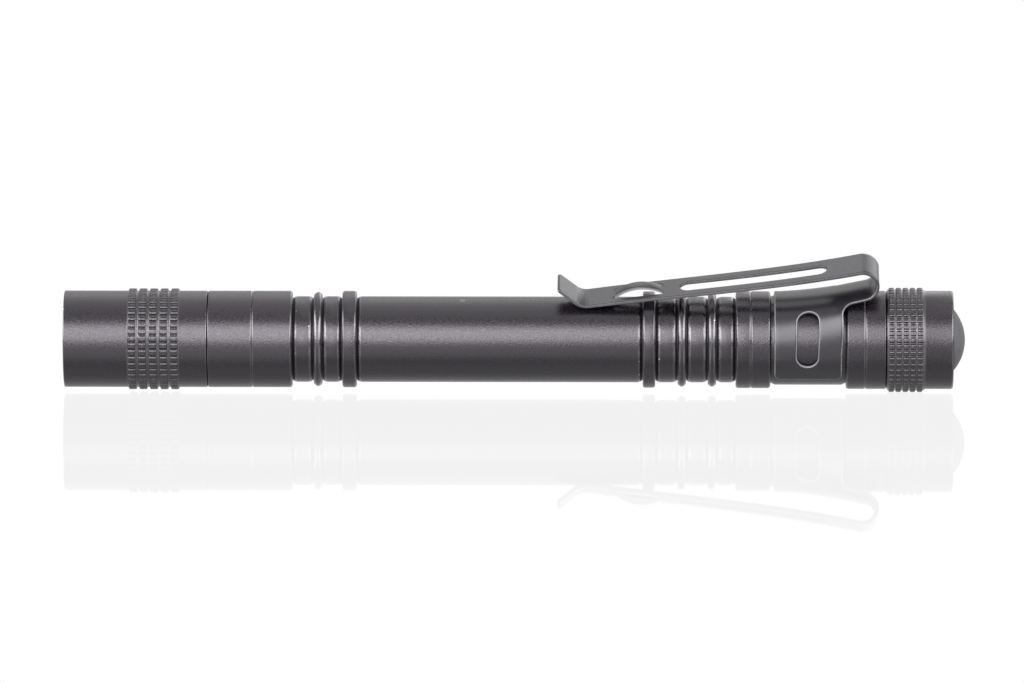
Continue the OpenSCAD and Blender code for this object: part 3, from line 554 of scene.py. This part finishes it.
barrel_line = [
    (NOSE_TIP, PILL_BORE_R, FINE), (NOSE_TIP, NOSE_ROOT_R - EDGE, FINE), (NOSE_TIP + EDGE, NOSE_ROOT_R),
    (NOSE_ROOT_END, NOSE_ROOT_R), (NOSE_ROOT_END, NOSE_R, FINE), *ring_groove(*HEAD_RING_GROOVE, NOSE_R),
    (HEAD_SEAM, NOSE_R), *land(HEAD_SEAM, HEAD_LAND_END, HEAD_R, EDGE / 2, EDGE, HEAD_LINE), *groove(HEAD_LAND_END, 1),
    *bead(FRONT_BEAD), *flange(*FRONT_FLANGE), *flange(*REAR_FLANGE), *bead(MID_BEAD), *bead(REAR_BEAD),
    *groove(REAR_LAND_START, -1), *land(REAR_LAND_START, RECESS_START, REAR_LAND_R, EDGE, EDGE, REAR_LINE),
    (RECESS_START, undercut_r), (RECESS_START + UNDERCUT_FLOOR, undercut_r), (RECESS_START + UNDERCUT_LEN, RECESS_R),
    (RECESS_END - UNDERCUT_LEN, RECESS_R), (RECESS_END - UNDERCUT_FLOOR, undercut_r), (RECESS_END, undercut_r),
    *land(RECESS_END, TAIL_SEAM, TAIL_R, EDGE, EDGE / 2, TAIL_LINE), (TAIL_SEAM, SPIGOT_R),
    *ring_groove(*TAIL_RING_GROOVE, SPIGOT_R), (SPIGOT_ROOT_START, SPIGOT_R, FINE), (SPIGOT_ROOT_START, SPIGOT_ROOT_R),
    (SPIGOT_END - EDGE, SPIGOT_ROOT_R, FINE), (SPIGOT_END, SPIGOT_ROOT_R - EDGE, FINE), (SPIGOT_END, CELL_BORE_R, FINE),
    (CELL_BORE_START, CELL_BORE_R), (CELL_BORE_START, PILL_BORE_R),
]
barrel_mesh = turned(barrel_line, burnished=lips)
print("barrel profile corners:", len(barrel_line), "lips:", len(lips))

# %% [markdown]
# ## Threads
# When the head or the tail is unscrewed, the thread on the barrel comes into view. A thread is a small profile that
# moves along the axis while it turns, and spin can do that too, with a step along the axis.

# %% Thread ridges on the nose and the spigot
THREAD_PITCH, THREAD_STEPS, THREAD_RUNOUT = 1.0, 72, 0.6
THREAD_CREST, THREAD_FOOT, THREAD_SUNK = (0.22, 0.34), 0.56, 0.05
NOSE_THREAD, SPIGOT_THREAD = (NOSE_TIP + 0.3, 19.3), (122.55, SPIGOT_END - 0.1)


def add_thread(bm, z0, z1, root_r, crest_r):
    """A ridge that winds from one station to the other in whole quarters of a turn."""
    ridge = bmesh.new()
    turns = floor((z1 - z0 - THREAD_RUNOUT) / THREAD_PITCH * 4) / 4
    section = [(0.0, root_r - THREAD_SUNK), *((z, crest_r) for z in THREAD_CREST), (THREAD_FOOT, root_r - THREAD_SUNK)]
    line = [ridge.verts.new(place(z0 + z, r)) for z, r in section]
    for a, b in zip(line, line[1:] + line[:1]):
        ridge.edges.new((a, b))
    steps = round(turns * THREAD_STEPS)
    bmesh.ops.spin(ridge, geom=ridge.verts[:] + ridge.edges[:], cent=axis_point, axis=axis_line,
                   dvec=(THREAD_PITCH / THREAD_STEPS * MM, 0.0, 0.0), angle=2 * pi * turns, steps=steps)
    bmesh.ops.holes_fill(ridge, edges=[e for e in ridge.edges if e.is_boundary], sides=4)
    bmesh.ops.recalc_face_normals(ridge, faces=ridge.faces[:])
    join(bm, ridge)
    return turns


print("turns of thread:", add_thread(barrel_mesh, *NOSE_THREAD, NOSE_ROOT_R, NOSE_R),
      add_thread(barrel_mesh, *SPIGOT_THREAD, SPIGOT_ROOT_R, SPIGOT_R))
barrel = add_piece(barrel_mesh, "ringed_barrel", anodised)
settle(barrel, "barrel", "black_anodised", "barrel")

# %% [markdown]
# ## The tail cap
# The cap screws over the barrel's spigot. Its teeth are smaller and stand on a low band, and its end wall has the hole
# that the button comes through.

# %% Tail cap
TAIL_BAND_R, TAIL_END = 7.4, 130.28
BAND_START, BAND_END, BAND_EDGE, BAND_ROUNDING, BAND_CHAMFER = 120.64, 126.2, 0.07, 0.03, 0.25
CAP_THREAD_R, CAP_THREAD_END, SWITCH_BORE_R, END_WALL, BUTTON_HOLE_R = 6.52, 126.7, 5.75, 129.25, 4.55
TAIL_KNURL = Knurl(
    teeth=48, pitch=1.04, first_row=121.23, base_r=TAIL_BAND_R, ridge_r=7.5, tooth_r=7.64, ridge_foot=0.48,
    ridge_top=0.39, tooth_foot=(0.78, 0.9), tooth_top=(0.66, 0.44), rounding=0.06)
cap_front = TAIL_SEAM + SEAM_GAP
cap_line = [
    (cap_front, CAP_THREAD_R), (cap_front, TAIL_R - EDGE / 2, FINE), (TAIL_SEAM + SEAM_EDGE, TAIL_R),
    (BAND_START, TAIL_R), (BAND_START, TAIL_BAND_R - BAND_EDGE, BAND_ROUNDING),
    (BAND_START + BAND_EDGE, TAIL_BAND_R, BAND_ROUNDING), *ridges(TAIL_KNURL),
    (BAND_END - BAND_CHAMFER, TAIL_BAND_R), (BAND_END, TAIL_R), (TAIL_END - EDGE, TAIL_R, FINE),
    (TAIL_END, TAIL_R - EDGE, FINE), (TAIL_END, BUTTON_HOLE_R, FINE), (END_WALL, BUTTON_HOLE_R),
    (END_WALL, SWITCH_BORE_R), (CAP_THREAD_END, SWITCH_BORE_R), (CAP_THREAD_END, CAP_THREAD_R),
]
cap_mesh = turned(cap_line, burnished=[(BAND_START, BAND_END, KNURL_SHINE)])
add_teeth(cap_mesh, TAIL_KNURL)
tail_cap = add_piece(cap_mesh, "knurled_tail_cap", anodised)
settle(tail_cap, "tail", "black_anodised", "tail_cap")

# %% [markdown]
# ## The button
# The button is a rubber boot: a flange held inside the cap, a short straight side and a dome. The dome is part of a
# sphere, so its profile is an arc, and the spin closes it at a pole.

# %% Button
BUTTON_R, BUTTON_TOP, BUTTON_EDGE, DOME_R, DOME_STEPS = 4.45, 130.42, 0.1, 6.9, 14
BOOT_FRONT, BOOT_FLANGE_R, BOOT_FLANGE_REAR = 128.4, 5.65, 129.2
STUD_R, HOLLOW_R, HOLLOW_REAR = 1.5, 3.55, 129.52
dome_mid = BUTTON_TOP - sqrt(DOME_R ** 2 - BUTTON_R ** 2)
dome_start = asin(BUTTON_R / DOME_R)
dome_line = [(dome_mid + DOME_R * cos(a), DOME_R * sin(a))
             for a in (dome_start * (1 - i / DOME_STEPS) for i in range(1, DOME_STEPS + 1))]
boot_line = [(BOOT_FRONT, 0.0), (BOOT_FRONT, STUD_R, FINE), (HOLLOW_REAR, STUD_R), (HOLLOW_REAR, HOLLOW_R),
             (BOOT_FRONT, HOLLOW_R, FINE), (BOOT_FRONT, BOOT_FLANGE_R, FINE), (BOOT_FLANGE_REAR, BOOT_FLANGE_R, FINE),
             (BOOT_FLANGE_REAR, BUTTON_R), (BUTTON_TOP, BUTTON_R, BUTTON_EDGE)]
button = add_piece(turned(boot_line + dome_line, closed=False), "rubber_button", rubber)
settle(button, "button", "button_rubber", "switch_boot")

# %% [markdown]
# ## The reflector
# The bowl behind the lens is a parabola, so that light from its focus leaves straight. Its solid has a few straight
# steps. Here the same curve has enough points to look smooth through the glass.

# %% Reflector
MOUTH_R, HOLE_R, BOWL_FRONT, BOWL_REAR, BOWL_STEPS = 5.3, 1.9, 2.7, 11.52, 36
BOWL_BACK_R, BOWL_RIM_R, BOWL_RIM_LEN = 3.4, 5.85, 4.0
bowl_radii = [MOUTH_R + (HOLE_R - MOUTH_R) * i / BOWL_STEPS for i in range(BOWL_STEPS + 1)]
bowl_line = [(BOWL_FRONT + (BOWL_REAR - BOWL_FRONT) * (MOUTH_R ** 2 - r ** 2) / (MOUTH_R ** 2 - HOLE_R ** 2), r)
             for r in bowl_radii]
bowl_line += [(BOWL_REAR, BOWL_BACK_R, FINE), (BOWL_FRONT + BOWL_RIM_LEN, BOWL_RIM_R, FINE),
              (BOWL_FRONT, BOWL_RIM_R, FINE)]
bowl = add_piece(turned(bowl_line), "reflector_bowl", bright_bowl)
settle(bowl, "head", "reflector_metal", "reflector")

# %% [markdown]
# ## Springs
# A spring is a wire wound round a mandrel. A curve with a round bevel could draw it. Spin does it too, as it did the
# threads: a small circle is turned round the axis and steps along it. A conical spring is drawn in towards its end
# afterwards.


# %% Springs
COIL_STEPS, COIL_TURNS, WIRE_SIDES = 40, 4, 10


def coil(name, z0, z1, r0, r1, wire):
    """A round wire wound from one station and radius to another."""
    bm = bmesh.new()
    stand = Matrix.Translation(place(z0, r0)) @ Matrix.Rotation(pi / 2, 4, "X")
    section = bmesh.ops.create_circle(bm, segments=WIRE_SIDES, radius=wire / 2 * MM, matrix=stand)["verts"]
    bm.faces.new(section)
    steps = COIL_TURNS * COIL_STEPS
    last = bmesh.ops.spin(bm, geom=bm.edges[:], cent=axis_point, axis=axis_line, angle=2 * pi * COIL_TURNS,
                          dvec=((z1 - z0) / steps * MM, 0.0, 0.0), steps=steps)["geom_last"]
    bmesh.ops.contextual_create(bm, geom=[g for g in last if isinstance(g, bmesh.types.BMEdge)])
    for vert in bm.verts:
        share = (vert.co.x - place(z0, 0.0).x) / ((z1 - z0) * MM)
        spoke = (vert.co - axis_point) * Vector((0.0, 1.0, 1.0))
        vert.co += spoke.normalized() * (r1 - r0) * share * MM
    bmesh.ops.recalc_face_normals(bm, faces=bm.faces[:])
    return add_piece(bm, name, wire_steel)


BOARD_FACE, CELL_FACE, BASE_COIL_R, END_COIL_R, BATTERY_WIRE = 118.42, 114.48, 3.6, 2.4, 0.5
SPRING_FLOOR, COLLAR_FACE, RETURN_COIL_R, RETURN_WIRE, PRESS = 120.53, 124.67, 2.0, 0.35, 1.5
battery_spring = coil("battery_spring", BOARD_FACE, CELL_FACE, BASE_COIL_R, END_COIL_R, BATTERY_WIRE)
settle(battery_spring, "tail", "spring_wire", "tail_spring")
return_spring = coil("return_spring", SPRING_FLOOR + RETURN_WIRE / 2, COLLAR_FACE - RETURN_WIRE / 2,
                     RETURN_COIL_R, RETURN_COIL_R, RETURN_WIRE)
settle(return_spring, "tail", "spring_wire", "switch_spring")
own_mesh(return_spring)

# %% [markdown]
# ## The clip, from a flat blank
# The clip is one strip of spring steel: it is punched out flat with its windows and slot, and then bent. Modelling the
# bent shape directly would mean a different trick for each bend. Here the script does what the press does. It draws
# the blank, gives it its thickness and its broken edges while it is flat, and then moves every point along the bent
# line. The blank's own coordinates are s along the strip and w across it.

# %% The bent line of the strip
CLIP_TURN, CLIP_T = radians(19.5), 0.5
BAND_MID_R, CLIP_BAND_FRONT, CLIP_BAND_LEN = 6.89, 104.05, 9.9
NECK_ANGLE, ARM_ANGLE, FLARE_ANGLE = radians(9.8), radians(8.137), radians(39.5)
FOLD_MID, FOLD_BEND_R, TIP_BEND_R, FOOT_BEND_R = (10.25, 116.95), 2.2, 2.6, 65.0
ARM_LEN, ARM_BOW, FLARE_LEN = 40.07, 0.38, 3.28
neck_rise = FOLD_MID[0] - FOLD_BEND_R * cos(NECK_ANGLE) - BAND_MID_R
NECK_LEN = neck_rise / sin(NECK_ANGLE)
NECK_FOOT = FOLD_MID[1] + FOLD_BEND_R * sin(NECK_ANGLE) - neck_rise / tan(NECK_ANGLE)
foot_reach = FOOT_BEND_R * tan(NECK_ANGLE / 2)
# Each stretch of the line: its length and the angle it turns through
STRETCHES = [
    (NECK_FOOT - foot_reach - CLIP_BAND_FRONT, 0.0),
    (FOOT_BEND_R * NECK_ANGLE, NECK_ANGLE),
    (NECK_LEN - foot_reach, 0.0),
    (FOLD_BEND_R * (pi - NECK_ANGLE + ARM_ANGLE), pi - NECK_ANGLE + ARM_ANGLE),
    (ARM_LEN, 0.0),
    (TIP_BEND_R * (ARM_ANGLE + FLARE_ANGLE), -ARM_ANGLE - FLARE_ANGLE),
    (FLARE_LEN, 0.0),
]
starts = [sum(length for length, _ in STRETCHES[:i]) for i in range(len(STRETCHES) + 1)]
_, FOOT_S, _, FOLD_S, ARM_S, TIP_S, FLARE_S, STRIP_LEN = starts


def strip_line(s):
    """Radius, station and heading of the bent line at s. The heading is 0 along the axis and grows outwards."""
    radius, station, heading = BAND_MID_R, CLIP_BAND_FRONT, 0.0
    for (length, turn), begin in zip(STRETCHES, starts):
        step = max(0.0, min(s - begin, length))
        if turn == 0.0:
            radius, station = radius + step * sin(heading), station + step * cos(heading)
        else:
            bend, now = length / turn, heading + turn * step / length
            radius += bend * (cos(heading) - cos(now))
            station += bend * (sin(now) - sin(heading))
            heading = now
    return radius, station, heading


tip_end = strip_line(STRIP_LEN)
print("strip length:", round(STRIP_LEN, 2), "mm, tip at radius", round(tip_end[0], 3), "station", round(tip_end[1], 3))

# %% [markdown]
# Across the strip the metal goes from a hoop to a flat. The neck keeps the band's curve while it rises, the band's
# shoulder lifts with it, and the fold flattens the curve. So each point is placed twice, on the hoop and on the strip's
# line, and the two are mixed.

# %% Where a point of the flat blank goes
CLIP_HALF, TIP_HALF, NECK_HALF = 3.1, 2.7, 3.4
BRIDGE_S, BRIDGE_HALF, BRIDGE_RISE, BRIDGE_W, BRIDGE_SLIT = ARM_S + 32.75, 3.6, 1.15, 1.9, 0.55
SHOULDER_START, SHOULDER_END, FLAT_SHARE = 4.5, 10.0, 0.55
neck_crown = BAND_MID_R * (1 - cos(CLIP_HALF / BAND_MID_R))
bridge_r = (BRIDGE_HALF ** 2 + BRIDGE_RISE ** 2) / (2 * BRIDGE_RISE)
outwards = Vector((0.0, -sin(CLIP_TURN), cos(CLIP_TURN)))
across = Vector((0.0, cos(CLIP_TURN), sin(CLIP_TURN)))


def eased(share):
    """A share from 0 to 1 that starts and ends gently."""
    share = max(0.0, min(1.0, share))
    return share * share * (3 - 2 * share)


def bent_point(s, w, h):
    """The point of the blank at s and w, h above its middle, on the bent clip in the row frame."""
    lift = h
    if abs(w) < (BRIDGE_W + BRIDGE_SLIT) / 2 and abs(s - BRIDGE_S) < BRIDGE_HALF:
        lift -= sqrt(bridge_r ** 2 - (s - BRIDGE_S) ** 2) - (bridge_r - BRIDGE_RISE)
    if ARM_S < s < TIP_S:
        share = (s - ARM_S) / ARM_LEN
        # 27 / 4 makes the largest bow ARM_BOW
        lift += ARM_BOW * share * (1 - share) ** 2 * 27 / 4
    radius, station, heading = strip_line(s)
    hoop_angle, hoop_r = w / BAND_MID_R, BAND_MID_R + lift
    rise = neck_crown * max(0.0, min(1.0, (s - FOOT_S) / (FOLD_S - FOOT_S)))
    flatten = eased((s - FOLD_S) / (FLAT_SHARE * (ARM_S - FOLD_S)))
    curved = Vector((hoop_r * cos(hoop_angle) - BAND_MID_R + rise, hoop_r * sin(hoop_angle)))
    up, side = curved.lerp(Vector((lift, w)), flatten)
    strip = Vector((radius + up * cos(heading), side, station - up * sin(heading)))
    band_point = Vector(((BAND_MID_R + h) * cos(hoop_angle), (BAND_MID_R + h) * sin(hoop_angle), CLIP_BAND_FRONT + s))
    share = 1 - eased((abs(w) - SHOULDER_START) / (SHOULDER_END - SHOULDER_START))
    radius, side, station = band_point.lerp(strip, share)
    return place(station, 0.0) + (outwards * radius + across * side) * MM


print("crown of the neck:", round(neck_crown, 3), "mm, bridge radius:", round(bridge_r, 2), "mm")

# %% [markdown]
# The outline and the openings are closed lines, and a bevel of their corner points rounds them. One filling makes the
# sheet with all its holes, so no hole has to be cut.

# %% The blank's outline, windows, slot and slits
BAND_HALF, WINDOW_W = radians(118) * BAND_MID_R, radians(64) * BAND_MID_R
WINDOW_S, WINDOW_HALF, WINDOW_REACH = CLIP_BAND_LEN / 2 - 0.12, 1.55, 3.95
SLOT_START, SLOT_END, SLOT_HALF = ARM_S + 5.04, ARM_S + 26.62, 1.25
BRIDGE_START, BRIDGE_END = BRIDGE_S - BRIDGE_HALF, BRIDGE_S + BRIDGE_HALF
BAND_CORNER, NECK_CORNER, ARM_CORNER = 1.0, 1.6, 0.5


def add_outline(bm, corners):
    """A closed line through (s, w, rounding) corners. A bevel of the corners rounds them."""
    spots = [bm.verts.new((s, w, 0.0)) for s, w, _ in corners]
    bm.faces.new(spots)
    for rounding in sorted({r for _, _, r in corners}):
        chosen = [spot for spot, (_, _, r) in zip(spots, corners) if r == rounding]
        round_off(bm, chosen, rounding, 7, affect="VERTICES")
    bmesh.ops.delete(bm, geom=bm.faces[:], context="FACES_ONLY")


def round_ended(s0, s1, w0, w1):
    """The corners of a slot whose ends are half circles, with a hair left straight between two corners."""
    rounding = min(s1 - s0, w1 - w0) / 2 * 0.999
    return [(s0, w0, rounding), (s1, w0, rounding), (s1, w1, rounding), (s0, w1, rounding)]


half_outline = [
    (0.0, BAND_HALF, BAND_CORNER), (CLIP_BAND_LEN, BAND_HALF, BAND_CORNER), (CLIP_BAND_LEN, NECK_HALF, NECK_CORNER),
    (ARM_S, CLIP_HALF, ARM_CORNER), (STRIP_LEN, TIP_HALF, ARM_CORNER),
]
outline = half_outline + [(s, -w, rounding) for s, w, rounding in reversed(half_outline)]
cutouts = [round_ended(WINDOW_S - WINDOW_HALF, WINDOW_S + WINDOW_HALF, w - WINDOW_REACH, w + WINDOW_REACH)
           for w in (-WINDOW_W, WINDOW_W)]
cutouts += [round_ended(SLOT_START, SLOT_END, -SLOT_HALF, SLOT_HALF)]
cutouts += [round_ended(BRIDGE_START, BRIDGE_END, w, w + BRIDGE_SLIT)
            for w in (BRIDGE_W / 2, -BRIDGE_W / 2 - BRIDGE_SLIT)]

blank = bmesh.new()
for corners in [outline] + cutouts:
    add_outline(blank, corners)
bmesh.ops.remove_doubles(blank, verts=blank.verts[:], dist=1e-3)
bmesh.ops.triangle_fill(blank, use_beauty=True, use_dissolve=False, edges=blank.edges[:], normal=(0.0, 0.0, 1.0))
print("blank area in mm2:", round(sum(f.calc_area() for f in blank.faces), 1))

# %% [markdown]
# Bending needs points where the metal bends, and the filled outline has none inside. Cutting the blank along lines
# of s and w gives them. A line that ran close beside an edge would leave no room to break that edge, so the lines keep
# clear of the outline and of the openings. The edges that the filling drew are marked first and dissolved afterwards,
# so that the mesh follows the strip and not the filling.

# %% Cut the blank where it bends
KEEP_CLEAR, CUT_MARGIN, HAIR = 0.22, 1.0, 0.01
NECK_STEP, FOLD_STEP, ARM_STEP, BRIDGE_STEP, END_STEP, TIP_STEP, HOOP_STEP = 0.3, 0.18, 1.6, 0.24, 0.8, 0.09, 0.45
fill_mark = blank.edges.layers.int.new("fill")
for e in blank.edges:
    e[fill_mark] = 0 if e.is_boundary else 1


def spread(start, end, step, avoid=()):
    """Evenly spaced values strictly between two ends, without those that lie too close to a line to avoid."""
    count = max(1, round((end - start) / step))
    values = [start + (end - start) * i / count for i in range(1, count)]
    return [value for value in values if all(abs(value - line) > KEEP_CLEAR for line in avoid)]


def cut(value, axis, s_start, s_end):
    """A cut along a line of constant s (axis 0) or w (axis 1), through the faces between two places on the strip."""
    faces = [face for face in blank.faces if s_start < face.calc_center_median().x < s_end]
    geom = faces + list({e for face in faces for e in face.edges}) + list({v for face in faces for v in face.verts})
    bmesh.ops.bisect_plane(blank, geom=geom, dist=1e-5, plane_co=(value, value, 0.0),
                           plane_no=(1.0 - axis, float(axis), 0.0))


band_edges = (0.0, CLIP_BAND_LEN, WINDOW_S - WINDOW_HALF, WINDOW_S + WINDOW_HALF)
bend_lines = [FOOT_S, FOLD_S, ARM_S, TIP_S, FLARE_S]
bend_lines += spread(FOOT_S, FOLD_S, NECK_STEP, band_edges) + spread(FOLD_S, ARM_S, FOLD_STEP)
bend_lines += spread(ARM_S, BRIDGE_START, ARM_STEP, (SLOT_START, SLOT_END))
bend_lines += spread(BRIDGE_START - HAIR, BRIDGE_END + HAIR, BRIDGE_STEP) + spread(BRIDGE_END, TIP_S, END_STEP)
bend_lines += spread(TIP_S, FLARE_S, TIP_STEP)
for s in bend_lines:
    cut(s, 0, 0.0, STRIP_LEN)
window_ends = [w + end for w in (-WINDOW_W, WINDOW_W) for end in (-WINDOW_REACH, WINDOW_REACH)]
for w in spread(-BAND_HALF, BAND_HALF, HOOP_STEP, window_ends):
    beside_neck = CLIP_HALF - KEEP_CLEAR < abs(w) < NECK_HALF + KEEP_CLEAR
    cut(w, 1, 0.0, CLIP_BAND_LEN - CUT_MARGIN if beside_neck else ARM_S)
for side in (-1, 1):
    cut(side * (BRIDGE_W + BRIDGE_SLIT) / 2, 1, BRIDGE_START - CUT_MARGIN, BRIDGE_END + CUT_MARGIN)
filled = [e for e in blank.edges if e[fill_mark] and not e.is_boundary]
bmesh.ops.dissolve_edges(blank, edges=filled, use_verts=False)
left_over = [v for v in blank.verts if len(v.link_edges) == 2 and not v.is_boundary]
bmesh.ops.dissolve_verts(blank, verts=left_over)
print("bend lines:", len(bend_lines), "faces of the blank:", len(blank.faces))

# %% [markdown]
# Shears and a tumbling drum leave the strip's edges slightly round, and these rims catch the light. They are marked for
# the finish while the strip is still flat and each rim is easy to find. The share of each mark is also painted light:
# it is raised on the bridge's rims as a painted highlight, lowered round the fold as painted shade, and left out on
# the last stretch of the tip, so that the tip's rims keep the coat's dark colour as painted shade.

# %% Thickness, broken edges and the bend
UNDER_EDGE, UPPER_EDGE = 0.2, 0.17
# The rim shares by the bridge and round the fold, and the plain rims at the tip, are a painted highlight and painted
# shade.
BAND_RIM, BRIDGE_RIM_HIGHLIGHT, FOLD_RIM_SHADE, ARM_RIM = 0.17, 0.5, 0.05, 0.1
FOLD_SHADE_END, TIP_SHADE_START = ARM_S + 9.0, STRIP_LEN - 0.6
raised = bmesh.ops.extrude_face_region(blank, geom=blank.faces[:])["geom"]
bmesh.ops.translate(blank, verts=[g for g in raised if isinstance(g, bmesh.types.BMVert)], vec=(0.0, 0.0, CLIP_T))
bmesh.ops.translate(blank, verts=blank.verts[:], vec=(0.0, 0.0, -CLIP_T / 2))
bmesh.ops.recalc_face_normals(blank, faces=blank.faces[:])
for side, rolled in ((-1, UNDER_EDGE), (1, UPPER_EDGE)):
    sheared = [e for e in blank.edges if len(e.link_faces) == 2 and e.calc_face_angle() > radians(60)
               and all(v.co.z * side > 0 for v in e.verts)]
    round_off(blank, sheared, rolled, 3, clamp=False)
print("blank volume in mm3:", round(blank.calc_volume(signed=True), 2))
edge = blank.faces.layers.float.new("edge")
for face in blank.faces:
    s, w, _ = face.calc_center_median()
    on_rim = -0.2 < face.normal.z < 0.97
    if on_rim and s < TIP_SHADE_START:
        in_bridge_highlight = abs(s - BRIDGE_S) < BRIDGE_HALF + 0.5 and abs(w) < BRIDGE_W
        in_fold_shade = (FOLD_S + ARM_S) / 2 < s < FOLD_SHADE_END
        on_band = s < CLIP_BAND_LEN + 0.1
        # Bare steel on the band and the arm rims; more of it by the bridge as a painted highlight, less round the fold
        # as painted shade.
        face[edge] = BAND_RIM if on_band else BRIDGE_RIM_HIGHLIGHT if in_bridge_highlight else FOLD_RIM_SHADE if in_fold_shade else ARM_RIM
for vert in blank.verts:
    vert.co = bent_point(*vert.co)
if blank.calc_volume(signed=True) < 0:
    bmesh.ops.reverse_faces(blank, faces=blank.faces[:])
print("bent volume in mm3:", round(blank.calc_volume(signed=True) / MM ** 3, 2))
clip = add_piece(blank, "spring_clip", clip_coat)
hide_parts("clip_band", "clip_arm")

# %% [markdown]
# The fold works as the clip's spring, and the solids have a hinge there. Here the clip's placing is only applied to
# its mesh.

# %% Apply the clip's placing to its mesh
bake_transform(clip)

# %% [markdown]
# ## A white studio
# The light was shot on glossy white, with nothing grey in sight. A real white floor under real lights would show a
# shadow and burn out its own reflection. So the floor here gives out an even white itself, and a small share of it is
# a mirror, which is all that shows: a pale image of the light below it.

# %% Floor and surround
WHITE, MIRROR_SHARE, MIRROR_BLUR, FLOOR_HALF = (1.0, 1.0, 1.0, 1.0), 0.125, 0.02, 6.0
scene = bpy.context.scene
scene.view_settings.view_transform = "Standard"
world = bpy.data.worlds.new("white_surround")
world.use_nodes = True
world.node_tree.nodes["Background"].inputs[0].default_value = WHITE
scene.world = world

floor_white, tree, shader = new_finish("white_floor")
tree.nodes.remove(shader)
glow = add_node(tree, "Emission", {"Color": WHITE, "Strength": 1.0})
mirror = add_node(tree, "BsdfGlossy", {"Color": WHITE, "Roughness": MIRROR_BLUR})
mixed = add_node(tree, "MixShader", {0: MIRROR_SHARE, 1: glow.outputs[0], 2: mirror.outputs[0]})
tree.links.new(mixed.outputs[0], tree.nodes["Material Output"].inputs["Surface"])
sheet = bmesh.new()
bmesh.ops.create_grid(sheet, x_segments=1, y_segments=1, size=FLOOR_HALF)
floor_mesh = bpy.data.meshes.new("studio_floor")
sheet.to_mesh(floor_mesh)
sheet.free()
floor_mesh.materials.append(floor_white)
studio_floor = bpy.data.objects.new("studio_floor", floor_mesh)
scene.collection.objects.link(studio_floor)
print("floor:", studio_floor.name, "mirror share", MIRROR_SHARE)


# %% [markdown]
# ## Softboxes
# The broad highlight along the body comes from a panel above the camera. The bright bars on the bead flanks and the
# groove lips face left and right, so there is a panel on each side as well. Two weak panels above and behind keep the
# upper edge from sinking into black.


# %% Lights
def stand_off(holder, target, azimuth, elevation, distance):
    """Puts a lamp or a camera at a distance from its target, facing it. The angles are in degrees."""
    a, e = radians(azimuth), radians(elevation)
    away = Vector((sin(a) * cos(e), -cos(a) * cos(e), sin(e)))
    holder.location = target + away * distance
    holder.rotation_euler = away.to_track_quat("Z", "Y").to_euler()
    scene.collection.objects.link(holder)


def softbox(name, azimuth, elevation, distance, width, height, radiance):
    """A panel that faces the light. Its power follows from the brightness its surface should have."""
    lamp = bpy.data.lights.new(name, "AREA")
    lamp.shape, lamp.size, lamp.size_y = "RECTANGLE", width, height
    lamp.energy = radiance * pi * width * height
    holder = bpy.data.objects.new(name, lamp)
    holder.visible_camera = False
    stand_off(holder, axis_point, azimuth, elevation, distance)


softbox("front_panel", -6, 20.5, 0.5, 0.23, 0.36, 10.8)
softbox("left_panel", -65, 24, 0.7, 1.12, 0.45, 10.5)
softbox("right_panel", 60, 24, 0.7, 1.2, 0.45, 9.5)
softbox("top_panel", 190, 74, 0.7, 0.28, 1.1, 1.15)
softbox("back_panel", 154, 26, 0.7, 0.46, 0.42, 1.35)

# %% [markdown]
# ## The camera
# The picture shows hardly any perspective, so the camera stands well back with a long lens, a little above the light.
# The lens follows from the width that the frame covers at the light.

# %% Camera
FRAME_WIDTH, CAMERA_DISTANCE, CAMERA_AZIMUTH, CAMERA_ELEVATION = 0.1502, 1.85, 0.6, 8.0
AIM_SHIFT = Vector((-0.39, 0.0, -0.33))
camera_data = bpy.data.cameras.new("camera")
camera_data.sensor_width = 36.0
camera_data.lens = camera_data.sensor_width * CAMERA_DISTANCE / FRAME_WIDTH
camera = bpy.data.objects.new("camera", camera_data)
stand_off(camera, axis_point + AIM_SHIFT * MM, CAMERA_AZIMUTH, CAMERA_ELEVATION, CAMERA_DISTANCE)
scene.camera = camera
print("lens:", round(camera_data.lens, 1), "mm")
